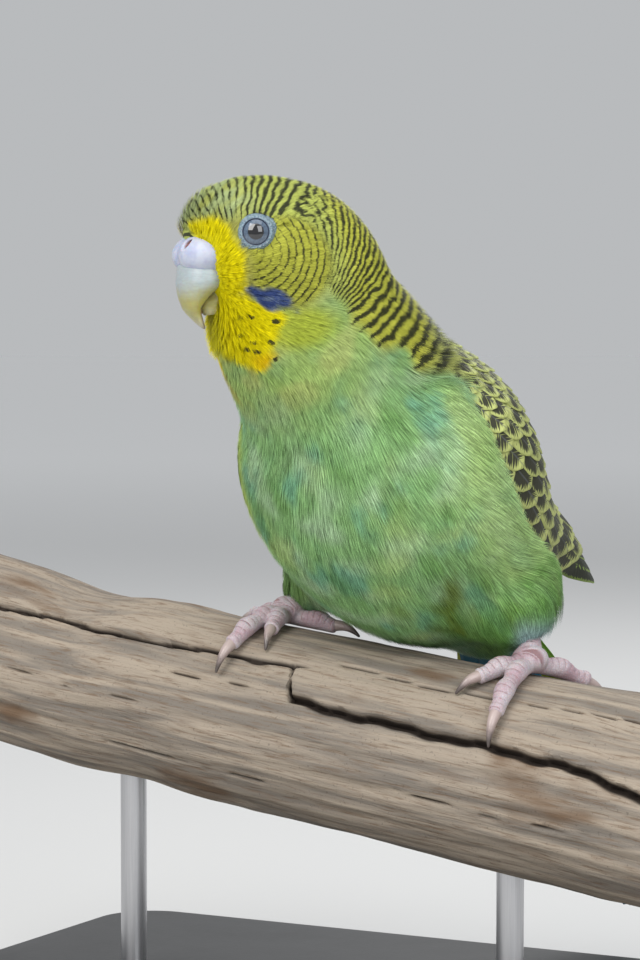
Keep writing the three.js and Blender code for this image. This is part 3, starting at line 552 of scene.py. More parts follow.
for side_name, foot in FEET.items():
    side, along, angle, heel = foot
    ball = perch_point(along, angle, PERCH_GAP + BALL_RADIUS * 0.8)
    shank = ball + np.linspace(0, 1.15, 5)[:, None] * (np.array(heel) - ball)
    lines = [(shank, np.array(SHANK_RADII))]
    for toe, (left_heading, right_heading, length, claw_length) in TOES.items():
        heading = left_heading if side > 0 else right_heading
        share = np.linspace(0, 1, 60)
        girth = TOE_RADIUS * (1.02 - 0.22 * share) + 0.15 * np.cos(share * length * 1.35)
        line = toe_path(foot, heading, 0.3 + share * (length + TOE_TIP), girth - 0.12)
        lines.append((line, girth * 0.98))
        claw_share = np.linspace(0, 1, 30)
        claw_reach = length + 0.1 + claw_share * (claw_length + 0.9)
        claw_line = toe_path(foot, heading, claw_reach, claw_rise(claw_share))
        claw = limb(claw_line, 0.16 + 0.74 * (1 - claw_share**1.3), steps=44, around=20, easing=0.05)
        claw_mesh = mesh_from(claw, "claw")
        gaps = np.linalg.norm(points_of(claw_mesh)[:, None] - claw_line[None], axis=2)
        set_field(claw_mesh, "reach", claw_share[gaps.argmin(1)])
        keep_piece(f"{side_name}_{toe}_claw", claw_mesh, claw_horn, [f"claw_{side_name}_{toe}"])
    shapes = [limb(line, radii) for line, radii in lines]
    pad = bmesh.new()
    bmesh.ops.create_icosphere(pad, subdivisions=4, radius=BALL_RADIUS * MM)
    bmesh.ops.scale(pad, vec=(1.1, 1, 0.85), verts=pad.verts)
    bmesh.ops.translate(pad, vec=Vector(placed(ball)), verts=pad.verts)
    foot_mesh = melted_together(gathered([*shapes, pad]), FOOT_VOXEL, 6)
    points = points_of(foot_mesh)
    normals = read_points(foot_mesh, "normal")
    nearest = np.full(len(points), 1e9)
    crest_share = np.zeros(len(points))
    for number, (line, radii) in enumerate(lines):
        knots = np.linspace(0, 1, len(line))
        fine = np.stack([np.interp(np.linspace(0, 1, 160), knots, line[:, k]) for k in range(3)], 1)
        length = np.linalg.norm(np.diff(fine, axis=0), axis=1).sum()
        gaps = np.linalg.norm(points[:, None] - fine[None], axis=2)
        index = gaps.argmin(1)
        gap = gaps.min(1) - np.interp(index / 159, knots, radii)
        closer = gap < nearest
        up = np.where(number == 0, -normals[:, 1], normals[:, 2] - 0.35 * normals[:, 1])
        place_along = index / 159 * length / SCUTE_PITCH + 0.3 * number
        ridge = np.abs(2 * (place_along % 1) - 1) ** 5 * rise(up, -0.15, 0.45)
        crest_share = np.where(closer, ridge, crest_share)
        nearest = np.minimum(nearest, gap)
    set_points(foot_mesh, points - normals * (SCUTE_RELIEF * crest_share)[:, None])
    set_field(foot_mesh, "crease_shade", crest_share)
    keep_piece(f"{side_name}_foot_skin", foot_mesh, foot_skin, [f"foot_{side_name}"])

# Body: one skin over head, neck, trunk and thighs, hidden under the coat and coloured as the coat is, but
# dimmer: painted shade where it shows between the feathers.
# Its form is a set of ovals that melt into each other, the same as in the part's own source.
BODY_MELT = 5.0
HEAD_AT = np.array([-2, -26.7, 57.7])
HEAD_YAW = 32
HEAD_PITCH = -8
SKIN_VOXEL = 0.0011


def axes_of(pitch, yaw=0):
    """Left, along and up directions of a form that is tilted up by a pitch and turned by a yaw."""
    pitch, yaw = math.radians(pitch), math.radians(yaw)
    level = math.cos(pitch)
    along = np.array([-math.sin(yaw) * level, -math.cos(yaw) * level, math.sin(pitch)])
    left = np.array([math.cos(yaw), -math.sin(yaw), 0])
    return np.array([left, along, np.cross(along, left)])


HEAD_AXES = axes_of(HEAD_PITCH, HEAD_YAW)


def on_head(forward, left, up):
    """A point given from the middle of the skull."""
    return HEAD_AT + np.array([left, forward, up]) @ HEAD_AXES


def head_place(points):
    """How far points lie forwards, to the left and up from the middle of the skull."""
    local = (points - HEAD_AT) @ HEAD_AXES.T
    return local[:, 1], local[:, 0], local[:, 2]


def oval(at, half, axes):
    return np.array(at, float), np.array(half, float), axes


def between(top, bottom, half):
    """An oval that lies along the line between two points."""
    along = np.array(top, float) - np.array(bottom, float)
    along /= np.linalg.norm(along)
    left = np.cross(along, [0, -1, 0])
    left /= np.linalg.norm(left)
    axes = np.array([left, along, np.cross(along, left)])
    return oval((np.array(top) + np.array(bottom)) / 2, half, axes)


TRUNK_OVALS = [
    oval((0, -4, 24.9), (22, 24, 17.6), axes_of(54)),
    oval((0, 6, 15.5), (18, 17, 14.5), axes_of(44)),
    oval((0, 17, 8), (11.5, 14, 8.5), axes_of(42)),
    oval((-1, -16.8, 44), (14.5, 14, 14), axes_of(60)),
    oval(on_head(-1, 0, 0), (10.4, 11, 10.2), HEAD_AXES),
    oval(on_head(5, 0, 4.1), (7.8, 7.5, 6.2), HEAD_AXES),
    oval(on_head(-5.6, 0, -4.6), (11, 9.6, 10), HEAD_AXES),
    oval(on_head(1.2, 0, -4), (10.4, 7, 8), HEAD_AXES),
    oval(on_head(0, 0, -11.5), (8.5, 8.6, 7.5), HEAD_AXES),
]
THIGH_OVALS = [
    between((10.8, 9, 15.5), (17.6, 5.4, 3.4), (6.9, 9.6, 6.9)),
    between((-11.2, 2.6, 15.5), (-18.6, 0.5, 7.4), (4.6, 8.2, 4.6)),
]
BODY_OVALS = TRUNK_OVALS + THIGH_OVALS


def over_form(points, ovals=BODY_OVALS):
    """How high points lie over the melted ovals, and the directions straight out of them there."""
    height = outwards = None
    for at, half, axes in ovals:
        scaled = ((points - at) @ axes.T) / half
        near = np.linalg.norm(scaled, axis=1)
        steep = scaled / half
        slope = np.linalg.norm(steep, axis=1) + 1e-9
        one = near * (near - 1) / slope
        out = (steep / slope[:, None]) @ axes
        if height is None:
            height, outwards = one, out
            continue
        share = np.clip(1 - np.abs(height - one) / BODY_MELT, 0, 1) / 2
        weight = np.where(one < height, 1 - share, share)[:, None]
        outwards = outwards * (1 - weight) + out * weight
        height = np.minimum(height, one) - (2 * share) ** 2 * BODY_MELT / 4
    return height, outwards / np.linalg.norm(outwards, axis=1)[:, None]


def past_trunk(points):
    """How much nearer points lie to a thigh than to the trunk."""
    left, right = (over_form(points, [thigh])[0] for thigh in THIGH_OVALS)
    return over_form(points, TRUNK_OVALS)[0] - np.minimum(left, right)


def laid_at(points, height, passes):
    """Points moved straight in or out until they lie at a height over the form."""
    for _ in range(passes):
        over, out = over_form(points)
        points = points + (height - over)[:, None] * out
    return points, out


# The coat's lie and its bars spread from the bill. Over the crown the bars fan from behind the eye.
# From the nape down they cross the back, further and further apart.
FAN_AT = on_head(2, 0, -12)
FAN_UP, FAN_BACK = axes_of(55, 20)[1:]
FAN_REACH = 18.5
CROWN_FAN_AT = (5.6, -2.2)
CROWN_REACH = 12.5
BAR_PITCH = 1.12
BAR_GROWTH = 0.045
NAPE_START = 9
# The nape's lower edge: places from front to back, and the height there
NAPE_EDGE = (
    [-32.4, -28.8, -25, -21, -17, -13, -9, -1, 19],
    [70, 53.5, 48, 45.2, 43.6, 41.4, 40.3, 37, 30],
)


def fan_place(points):
    """How far points lie up and back in the fan of the neck."""
    off = points - FAN_AT
    return off @ FAN_UP, off @ FAN_BACK


def bars_at(points):
    """The running number of the bars at points."""
    up_reach, back_reach = fan_place(points)
    fan = np.arctan2(up_reach, back_reach)
    run = np.where(up_reach > 0, -fan * FAN_REACH, -up_reach)
    run = np.where((up_reach <= 0) & (back_reach < 0), -math.pi * FAN_REACH, run)
    grown = np.maximum(run + NAPE_START, 0) / BAR_PITCH
    widening = np.log(1 + BAR_GROWTH * grown) / BAR_GROWTH - NAPE_START / BAR_PITCH
    nape = np.where(run < -NAPE_START, run / BAR_PITCH, widening)
    forward, left, up = head_place(points)
    seen = forward - 0.36 * (np.sqrt(left**2 + 6) - 2.4)
    turn = np.arctan2(up - CROWN_FAN_AT[1], CROWN_FAN_AT[0] - seen)
    crown = -turn * CROWN_REACH / BAR_PITCH - 5.9
    over = rise(turn, 0.30, 0.85)
    broken = 4 * over * (1 - over) * rise(np.abs(left), 3, 6)
    return nape * (1 - over) + crown * over + 0.5 * broken * mottle(points, 1.5, 33)


def cheek_share(points):
    """1 on the ear coverts behind and under each eye."""
    forward, left, up = head_place(points)
    reach = np.hypot((forward - 1.2) / 5.9, (up + 1.4) / 6.2)
    return rise(-reach, -1.16, -0.88) * rise(np.abs(left), 5.5, 7)


def mottle(points, size, seed):
    """Soft patches between -1 and 1, so many millimetres across."""
    rng = np.random.default_rng(seed)
    waves = rng.normal(size=(9, 3))
    waves *= (2 * math.pi / size) * rng.uniform(0.6, 1.3, (9, 1)) / np.linalg.norm(waves, axis=1)[:, None]
    return np.sin(points @ waves.T + rng.uniform(0, 6.28, 9)).sum(1) / 4.2


YELLOW = (0.86, 0.76, 0.004)
YELLOW_DEEP = (0.84, 0.50, 0.004)
PALE_LIME = (0.47, 0.53, 0.12)
CHEEK_LIME = (0.45, 0.46, 0.06)
LORES_OLIVE = (0.40, 0.40, 0.10)
NAPE_YELLOW = (0.56, 0.55, 0.05)
BROW_GREY = (0.42, 0.50, 0.22)
GRASS = (0.26, 0.47, 0.185)
LIME = (0.40, 0.56, 0.20)
LEAF = (0.12, 0.28, 0.06)
TURQUOISE = (0.16, 0.39, 0.26)
SEA_PALE = (0.40, 0.57, 0.35)
OLIVE = (0.12, 0.17, 0.015)
MANTLE_OLIVE = (0.27, 0.29, 0.08)
SHANK_BLUE = (0.36, 0.50, 0.56)
THROAT_LIME = (0.38, 0.52, 0.14)
THROAT_PALE = (0.52, 0.58, 0.20)
LIME_EDGE = (0.50, 0.56, 0.03)
VIOLET = (0.045, 0.075, 0.22)
VIOLET_PALE = (0.20, 0.26, 0.36)
# Painted shade in the fold between belly and thigh: how far across it lies, seen from the left front, and
# how high
FOLD_SHADE_AT = (7.4, 8.5)
FRONT_LEFT = math.radians(38)
# The yellow face's edge: heights on the head, and how far forward the edge lies there
MASK_EDGE = (
    [-17, -15.7, -14.5, -11.9, -9.5, -8.5, -7.8, -7.0, -5.9, -3.8, -2.5, -0.8, 1, 3.5, 6, 7.5],
    [6.5, 5.3, 4.2, 3.6, 2.5, 2.2, 2.6, 3.8, 6.2, 6.9, 6.8, 6.4, 6.6, 7.6, 8.6, 12],
)
# The throat's dark spots: forward, aside and up from the middle of the skull
SPOTS = [
    (7.6, 6.3, -8.1), (6.4, 7.8, -8.2), (3.6, 9.7, -9.2), (7.7, 5.7, -10.5), (6.4, 7.0, -11.6),
    (4.4, 8.4, -12.0), (7.2, 5.7, -12.5), (6.0, 6.8, -13.1), (3.9, 7.8, -14.4),
]  # fmt: skip
WING_LINE = np.array([0, -14, 36.0])
WING_PITCH = 40
# The wing's lower edge: stations, and the degrees round the wing there
WING_EDGE = (
    [-8, -4, 0, 4, 8, 12, 16, 20, 25, 30, 36, 40, 46],
    [40, 55, 74, 87, 94, 98, 101, 103, 102, 98, 91, 85, 76],
)


def wing_station(points):
    """The station along the folded wing and the angle round from the back, for points of the body."""
    _, along, back = axes_of(WING_PITCH)
    off = points - WING_LINE
    return -(off @ along), np.arctan2(np.abs(off[:, 0]), off @ back)


def painted(points):
    """The coat's colour at points, with the bars' running number, their share and the dark ink."""
    forward, left, up = head_place(points)
    side = np.abs(left)
    running = bars_at(points)
    up_reach, _ = fan_place(points)
    colour = np.empty((len(points), 3))

    def lay(tone, share):
        nonlocal colour
        colour = colour * (1 - share[:, None]) + np.array(tone) * share[:, None]

    rough = mottle(points, 2.2, 7)
    broad = mottle(points, 11, 8)
    fine = mottle(points, 5, 9)
    colour[:] = GRASS
    lay(SEA_PALE, rise(mottle(points, 8, 28) + 0.4 * fine, -0.3, 0.8) * 0.8)
    lay(LIME, rise(broad + 0.5 * fine, 0.0, 1.0) * 0.75)
    lay(TURQUOISE, rise(mottle(points, 9, 21) + 0.6 * mottle(points, 4, 22), 0.1, 1.0) * 0.75)
    lay(LEAF, rise(mottle(points, 7, 29) + 0.4 * mottle(points, 3, 30), 0.35, 1.1) * 0.5)
    lay(LIME_EDGE, rise(-points[:, 0], 12.5, 16.5) * rise(-points[:, 1], 4, 14) * 0.5)
    station, round_angle = wing_station(points)
    past_edge = np.degrees(round_angle) - np.interp(station, *WING_EDGE)
    lay(LIME, rise(station, 2, 8) * rise(-past_edge, -26, -8) * (1 - rise(station, 34, 42)) * 0.65)
    # Darker towards the bottom of the body: darker olive feathers of the thighs, and painted shade under
    # the belly.
    low = rise(-points[:, 2], -15, -2)
    lay(LEAF, low * rise(points[:, 0] + 0.4 * points[:, 1], 4, 12) * 0.75)
    lay(OLIVE, low * rise(np.abs(points[:, 0]), 3, 10) * rise(mottle(points, 5, 23), 0.0, 0.9) * 0.8)
    on_thigh = rise(past_trunk(points), -0.5, 1.5)
    lay(LEAF, on_thigh * (0.35 + 0.4 * rise(mottle(points, 3, 34), -0.4, 0.6)))
    outside = points[:, 0] * math.cos(FRONT_LEFT) + points[:, 1] * math.sin(FRONT_LEFT)
    on_shank = rise(-points[:, 2], -6.5, -2.5) * rise(outside, 15.5, 18)
    lay(SHANK_BLUE, on_shank * 0.8)
    # Painted shade in the fold between belly and thigh.
    fold_shade = np.hypot((outside - FOLD_SHADE_AT[0]) / 1.5, (points[:, 2] - FOLD_SHADE_AT[1]) / 5.0)
    fold_shade = fold_shade + 2 * rise(-points[:, 0], -8, -4)
    lay(OLIVE, rise(-fold_shade + 0.3 * rough, -1.3, -0.4) * 0.75)
    throat = rise(up_reach + 0.3 * rough, -14, -4)
    lay(THROAT_LIME, throat * 0.7)
    lay(THROAT_PALE, throat * rise(mottle(points, 6, 24) + 0.4 * fine, -0.2, 0.8) * 0.6)
    under_cheek = np.hypot((forward - 0.5) / 5.5, (up + 10.5) / 3.2)
    lay(LIME_EDGE, rise(-under_cheek, -1.3, -0.5) * 0.75)

    # Nape and mantle: pale lime between the bars, on the back of the neck only
    lean = points[:, 2] - np.interp(points[:, 1], *NAPE_EDGE) + 0.9 * fine
    backwards = rise(lean, -1.2, 1.6)
    on_crown = rise(up, 1, 4.5)
    barred = np.maximum(backwards, on_crown)
    lay(PALE_LIME, barred)
    mantle = backwards * rise(station, -9, -3)
    lay(MANTLE_OLIVE, mantle * 0.75)
    lay(NAPE_YELLOW, backwards * rise(-forward, 5, 9) * (1 - rise(station, -6, -1)) * 0.7)
    cheek = cheek_share(points)
    lay(CHEEK_LIME, cheek)
    brow = rise(forward - 0.25 * rough, 2.0, 6.5) * rise(up - 0.2 * rough, 4.6, 6.6)
    lay(BROW_GREY, brow)
    lay(CHEEK_LIME, brow * rise(mottle(points, 2.6, 26), 0.0, 0.6) * 0.55)
    lores = rise(forward, 5.2, 6.6) * rise(-up, -6.2, -4.6) * rise(side, 3, 4.5)
    lay(LORES_OLIVE, lores)

    # Yellow face: from the cere past the front of the eye, down the front cheek, over chin and throat
    front_edge = np.interp(up, *MASK_EDGE)
    face = rise(forward + 0.35 * rough, front_edge - 0.5, front_edge + 0.6)
    lowest = -15.9 + 0.5 * (6 - np.minimum(side, 6))
    face = face * rise(up + 0.6 * rough, lowest - 0.9, lowest + 0.7)
    face = face * (1 - rise(up + 0.2 * rough, 5.6, 6.6))
    face = face * (1 - rise(-side, -3.0, -2.0) * rise(up, 2.2, 3.2))
    lay(YELLOW, face)
    lay(YELLOW_DEEP, face * rise(-up, 12.5, 15.0) * rise(side, 4, 7) * 0.75)
    # Painted shade on the chin, under the bill.
    lay(OLIVE, face * rise(-up, 5, 8) * rise(-side, -3.5, -1.5) * 0.35)

    # Violet cheek patch, under the ear coverts
    patch_run = (forward - 3.9) * 0.86 + (up + 6.1) * 0.51
    patch_rise = (up + 6.1) * 0.86 - (forward - 3.9) * 0.51
    patch = rise(-np.hypot(patch_run / 2.6, patch_rise / 1.35) + 0.36 * rough, -1.25, -0.75)
    patch = patch * rise(side, 5, 7)
    lay(VIOLET, patch)
    lay(VIOLET_PALE, patch * rise(mottle(points, 1.0, 25), 0.15, 0.7) * 0.75)

    # The bars: how much of the coat is dark there, less on the brow and where they break up
    nape_wash = rise(-np.hypot((forward + 5.2) / 3.2, (up - 1.5) / 6.5) + 0.2 * fine, -1.25, -0.6)
    nape_wash = nape_wash * (1 - cheek)
    bar_share = 0.50 * barred * (1 - cheek) + 0.27 * cheek
    dashes = rise(mottle(points, 1.9, 27), -0.35, 0.35)
    bar_share = bar_share * (1 - patch) * (1 - face) * (1 - brow * (0.25 + 0.6 * dashes))
    bar_share = bar_share * (1 - 0.5 * nape_wash * dashes)
    bar_share = bar_share * (1 - lores)
    broken = rise(mottle(points, 1.3, 35), -0.3, 0.5) * rise(up, -6, -2.5)
    bar_share = bar_share * (1 - 0.4 * cheek * broken)
    near_ring = np.hypot(forward - 5.0, up - 2.9)
    bar_share = bar_share * (1 - 0.75 * cheek * (1 - rise(near_ring, 3.6, 5.2)))
    reach_round = np.hypot(forward - 6.0, up - 0.9)
    running = np.where(cheek > 0.5, reach_round / 1.02, running + 0.16 * rough + 0.12 * fine)
    bar_level = np.where(bar_share > 0.03, np.cos(math.pi * bar_share), 1.6)
    ink = np.full(len(points), -1.0)
    mirrored = np.stack([forward, side, up], 1)
    for spot in SPOTS:
        away = np.linalg.norm((mirrored - np.array(spot)) / np.array([0.62, 0.75, 0.44]), axis=1)
        ink = np.maximum(ink, 1 - away)
    return colour, running, bar_level, ink


def paint_onto(mesh, points, tone, shift=0.0):
    colour, running, bar_level, ink = painted(points)
    running = running + shift
    set_field(mesh, "tint", colour, "FLOAT_COLOR")
    set_field(mesh, "bars", running)
    set_field(mesh, "bar_level", bar_level)
    set_field(mesh, "ink", ink)
    set_field(mesh, "tone", tone)


BAR_DARK = (0.022, 0.024, 0.017)
plumage = new_finish("plumage", Specular_IOR_Level=0.10)
place = object_place(plumage)
tint = read_field(plumage, "tint", "Color")
tone = read_field(plumage, "tone")
ragged = noise(plumage, place, 1500, 2)
wave = calc(plumage, "COSINE", calc(plumage, "MULTIPLY", read_field(plumage, "bars"), 2 * math.pi))
wave = calc(plumage, "SUBTRACT", wave, read_field(plumage, "bar_level"))
wave = calc(plumage, "ADD", wave, calc(plumage, "MULTIPLY_ADD", ragged, 1.0, -0.5))
ink = calc(plumage, "ADD", read_field(plumage, "ink"), calc(plumage, "MULTIPLY_ADD", ragged, 1.3, -0.65))
dark = calc(plumage, "MAXIMUM", step_up(plumage, wave, -0.22, 0.22), step_up(plumage, ink, -0.05, 0.2))
streak = spread(plumage, tone, 0.52, 1.42)
lit = add(plumage, "VectorMath", {0: tint, "Scale": streak}, operation="SCALE").outputs[0]
wire(
    plumage,
    tinted(plumage, calc(plumage, "MULTIPLY", dark, 0.94), lit, BAR_DARK),
    spread(plumage, ragged, 0.5, 0.7),
)


def coat_depth(points):
    """How deep the coat is: thin on the face, thicker towards the breast and belly."""
    up_reach, _ = fan_place(points)
    return 1.3 - 0.65 * rise(up_reach, -12, 2)


SKIN_NODES = ["head", "neck", "torso", "thigh_left", "thigh_right"]
flesh = []
for name in SKIN_NODES:
    copy = bmesh.new()
    copy.from_mesh(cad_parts[name].data)
    bmesh.ops.remove_doubles(copy, verts=copy.verts, dist=1e-6)
    flesh.append(copy)
skin_mesh = melted_together(gathered(flesh), SKIN_VOXEL, 6)
skin_mesh.materials.clear()
points = points_of(skin_mesh)
points, _ = laid_at(points, -coat_depth(points), 3)
set_points(skin_mesh, points)
# The skin's low tone is painted shade, for where it shows between the feathers.
paint_onto(skin_mesh, points, np.full(len(points), 0.25))
keep_piece("skin", skin_mesh, plumage, SKIN_NODES)

# Coat: small soft feathers, each a fan of fine barbs rooted in the skin and lying along the body.
# They are short and close on the face and longer down the breast, and thin out at the feet and the bill.
COAT_POINTS = 90000
COAT_SPACING = 1.18
FACE_CLOSER = 0.66
FEATHER_LENGTH = 5.2
FEATHER_WIDTH = 2.7
MANTLE_RAISED = 2.7
SPLAY = 0.1
# Each barb's five points: place along it, and half-widths aside
BARB_POINTS = ((0.0, -1), (0.0, 1), (0.55, -0.8), (0.55, 0.8), (1.0, 0.0))
BILL_AT = on_head(10.5, 0, -2.5)
BILL_OVAL = oval(on_head(13.0, 0, -1.0), (5.2, 5.3, 5.5), HEAD_AXES)
CERE_OVAL = oval(on_head(10.9, 0, 1.0), (5.6, 4.2, 3.0), HEAD_AXES)
# Bare of feathers: the eye's ring and its two corners, each with how far it reaches
BARE_SPOTS = [((5.0, 9.6, 3.1), 2.95), ((7.2, 8.6, 1.6), 0.9), ((1.7, 9.8, 3.4), 0.7)]


def unit(vectors):
    return vectors / np.maximum(np.linalg.norm(vectors, axis=1), 1e-9)[:, None]


def lie_at(points, out):
    """The way that feathers lie at points of the skin."""
    forward, _, up = head_place(points)
    up_reach, back_reach = fan_place(points)
    from_bill = unit(points - BILL_AT)
    fan_round = unit(np.outer(up_reach, FAN_BACK) - np.outer(back_reach, FAN_UP))
    down_body = np.tile(-axes_of(50)[1], (len(points), 1))
    down_body[:, 0] += 0.16 * points[:, 0] / 20
    over_crown = rise(up - 0.4 * forward, 0.5, 5.0)[:, None]
    on_face = from_bill * (1 - over_crown) + fan_round * over_crown
    on_head_share = rise(up_reach, -7, 4)[:, None]
    lie = unit(on_face) * on_head_share + down_body * (1 - on_head_share)
    leg = rise(past_trunk(points), -1.5, 2.5)[:, None]
    down_leg = np.full((len(points), 3), [0, -0.25, -1])
    down_leg[:, 0] = 0.5 * np.sign(points[:, 0])
    lie = lie * (1 - leg) + unit(down_leg) * leg
    swirl = np.stack([mottle(points, 9, seed) for seed in (31, 32, 33)], 1)
    lie = lie + 0.14 * swirl
    return unit(lie - (lie * out).sum(1)[:, None] * out), leg[:, 0]


def scattered(mesh, count, seed):
    """Points spread at random over a mesh, evenly by area."""
    rng = np.random.default_rng(seed)
    mesh.calc_loop_triangles()
    corners = np.empty(len(mesh.loop_triangles) * 3, int)
    mesh.loop_triangles.foreach_get("vertices", corners)
    corners = points_of(mesh)[corners.reshape(-1, 3)]
    area = np.linalg.norm(np.cross(corners[:, 1] - corners[:, 0], corners[:, 2] - corners[:, 0]), axis=1)
    picked = np.searchsorted(np.cumsum(area) / area.sum(), rng.random(count))
    a, b = rng.random((2, count, 1))
    flip = (a + b) > 1
    a, b = np.where(flip, 1 - a, a), np.where(flip, 1 - b, b)
    chosen = corners[np.minimum(picked, len(area) - 1)]
    return chosen[:, 0] + a * (chosen[:, 1] - chosen[:, 0]) + b * (chosen[:, 2] - chosen[:, 0])


def thinned(points, spacing):
    """Keeps one point for each cell of a grid as wide as the spacing there."""
    steps = np.round(np.log(spacing / 0.3) / math.log(1.18))
    width = 0.3 * 1.18**steps
    cells = np.column_stack([np.floor(points / width[:, None]), steps]).astype(int)
    _, first = np.unique(cells, axis=0, return_index=True)
    return np.sort(first)


def bake_place(points):
    """A place on a flat unwrap of the body's own shape, by station and by angle round it."""
    off = points - np.array([0, 0, 26.0])
    _, along, back = axes_of(52)
    turn = np.arctan2(off[:, 0], off @ back) / (2 * math.pi) + 0.5
    return np.clip(np.stack([turn, (off @ along + 48) / 110], 1), 0.004, 0.996)


def grow(name, roots, lie, out, length, width, barbs, root_depth, tip_height, seed, hatch, bend=1.1):
    """Feathers from a root each, every one a fan of barbs, as one joined mesh."""
    rng = np.random.default_rng(seed)
    count = len(roots)
    side = np.cross(out, lie)
    across = np.linspace(-1, 1, barbs)
    run = np.array([p[0] for p in BARB_POINTS])
    aside = np.array([p[1] for p in BARB_POINTS])
    shape = (count, barbs, 1)
    start = np.clip(0.30 * (1 - across**2)[None, :, None] + 0.12 * rng.random(shape) - 0.12, 0, 1)
    end = (1 - 0.30 * across**2)[None, :, None] * (1 + 0.16 * rng.uniform(-1, 1, shape))
    along = start + (end - start) * run
    lateral = across[None, :, None] * (0.30 + 0.70 * np.sqrt(np.clip(along, 0, 1)))
    lateral = lateral + SPLAY * rng.uniform(-1, 1, shape) * run
    thickness = (width / barbs * 0.95)[:, None, None] * (aside * 0.5)[None, None, :]
    x = lateral * (width / 2)[:, None, None] + thickness
    y = along * length[:, None, None]
    rising = np.clip(along, 0, 1) ** bend
    h = -root_depth[:, None, None] * (1 - rising) + tip_height[:, None, None] * rising
    h = h - 0.10 * width[:, None, None] * across[None, :, None] ** 2 * rising
    h = h + 0.05 * rng.uniform(-1, 1, shape)
    points = (
        roots[:, None, None]
        + y[..., None] * lie[:, None, None]
        + x[..., None] * side[:, None, None]
    ).reshape(-1, 3)
    points, _ = laid_at(points, h.reshape(-1), 1)
    total = count * barbs
    base = (np.arange(total) * 5)[:, None]
    quads = base + np.array([0, 1, 3, 2])
    tips = base + np.array([2, 3, 4])
    mesh = bpy.data.meshes.new(name)
    mesh.vertices.add(total * 5)
    mesh.loops.add(total * 7)
    mesh.polygons.add(total * 2)
    mesh.loops.foreach_set("vertex_index", np.hstack([quads, tips]).ravel())
    starts = (np.arange(total) * 7)[:, None] + np.array([0, 4])
    mesh.polygons.foreach_set("loop_start", starts.ravel())
    mesh.vertices.foreach_set("co", placed(points).ravel())
    mesh.update(calc_edges=True)
    line_run = np.arange(barbs)[None] * (width / barbs)[:, None] / 0.40 + rng.random((count, 1))
    line_run = line_run[..., None]
    tone = 0.5 + hatch * np.cos(2 * math.pi * line_run) + 0.2 * rng.uniform(-1, 1, shape)
    tone = (tone + 0.12 * rng.uniform(-1, 1, (count, 1, 1)) + 0 * y) * (0.45 + 0.55 * rising)
    shift = 0.10 * rng.uniform(-1, 1, (count, 1, 1)) + 0.09 * rng.uniform(-1, 1, shape) + 0 * y
    paint_onto(mesh, points, tone.reshape(-1), shift.reshape(-1))
    bake = mesh.uv_layers.new(name="OFBake")
    patch = bake_place(roots)[:, None, None] + 0.0015 * np.stack([lateral + 0 * y, 2 * along - 1], -1)
    bake.data.foreach_set("uv", patch.reshape(-1, 2)[np.hstack([quads, tips]).ravel()].ravel())
    return mesh


roots = scattered(skin_mesh, COAT_POINTS, 12)
roots, out = laid_at(roots, 0.0, 3)
up_reach, _ = fan_place(roots)
station, round_angle = wing_station(roots)
on_face = rise(up_reach, -14, 0)
spacing = COAT_SPACING - FACE_CLOSER * on_face
edge_angle = np.radians(np.interp(station, *WING_EDGE) - 5)
under_wing = (station > 0) & (station < 60) & (round_angle < edge_angle) & (roots[:, 2] < 40)
bare = np.zeros(len(roots), bool)
for (forward, left, up), reach in BARE_SPOTS:
    for side in (1, -1):
        bare |= np.linalg.norm(roots - on_head(forward, side * left, up), axis=1) < reach
in_bill = (over_form(roots, [BILL_OVAL])[0] < 0.2) | (over_form(roots, [CERE_OVAL])[0] < 0.2)
perch_along = perch_place(roots)[0]
off_middle = roots + np.array([0, 0, PERCH_RADIUS]) - perch_along[:, None] * PERCH_ALONG
off_perch = np.linalg.norm(off_middle, axis=1) - PERCH_RADIUS
kept = np.flatnonzero(~(under_wing | bare | in_bill | (off_perch < 0.4)))
kept = kept[thinned(roots[kept], spacing[kept])]
roots, out = roots[kept], out[kept]
lie, leg = lie_at(roots, out)
up_reach, _ = fan_place(roots)
on_face = rise(up_reach, -16, 2)
rng = np.random.default_rng(13)
station, round_angle = wing_station(roots)
jitter = (0.85, 1.15, len(roots))
low_leg = leg * rise(-roots[:, 2], -8, -3)
length = (FEATHER_LENGTH - 3.2 * on_face + 0.8 * leg + 1.6 * low_leg) * rng.uniform(*jitter)
width = (FEATHER_WIDTH - 1.7 * on_face) * rng.uniform(*jitter)
depth = coat_depth(roots) * 0.95
tip = 0.12 + 0.14 * rng.uniform(-1, 1, len(roots)) * (1 - 0.6 * on_face) + 0.15 * leg
forward, _, up = head_place(roots)
chin = rise(forward, 5.5, 8.5) * rise(-up, 5.2, 7) * (1 - rise(-up, 10, 13))
tip = tip + 1.0 * chin + 0.5 * rise(forward, 8, 10.5) * rise(up, 2, 4)
length = length + 0.8 * chin
over_mantle = rise(station, -13, -2) * rise(-round_angle, -1.45, -1.2) * rise(roots[:, 2], 20, 26)
tip = tip + MANTLE_RAISED * over_mantle
# Each piece of the coat: the feathers in it, how many barbs each has, and how strong their lines are
COAT_PIECES = [
    ("coat_face", (on_face > 0.72) & (up <= 1), 9, 0.16),
    ("coat_crown", (on_face > 0.72) & (up > 1), 9, 0.16),
    ("coat_neck", (on_face <= 0.72) & (on_face > 0.15), 16, 0.26),
    ("coat_breast", (on_face <= 0.15) & (roots[:, 2] > 22), 24, 0.42),
    ("coat_belly", (on_face <= 0.15) & (roots[:, 2] <= 22) & (roots[:, 1] < 2), 24, 0.42),
    ("coat_rump", (on_face <= 0.15) & (roots[:, 2] <= 22) & (roots[:, 1] >= 2), 24, 0.42),
]
for number, (name, chosen, barbs, hatch) in enumerate(COAT_PIECES):
    chosen = np.flatnonzero(chosen)
    mesh = grow(
        name, roots[chosen], lie[chosen], out[chosen], length[chosen], width[chosen], barbs,
        depth[chosen], tip[chosen], 40 + number, hatch,
    )  # fmt: skip
    keep_piece(name, mesh, plumage)

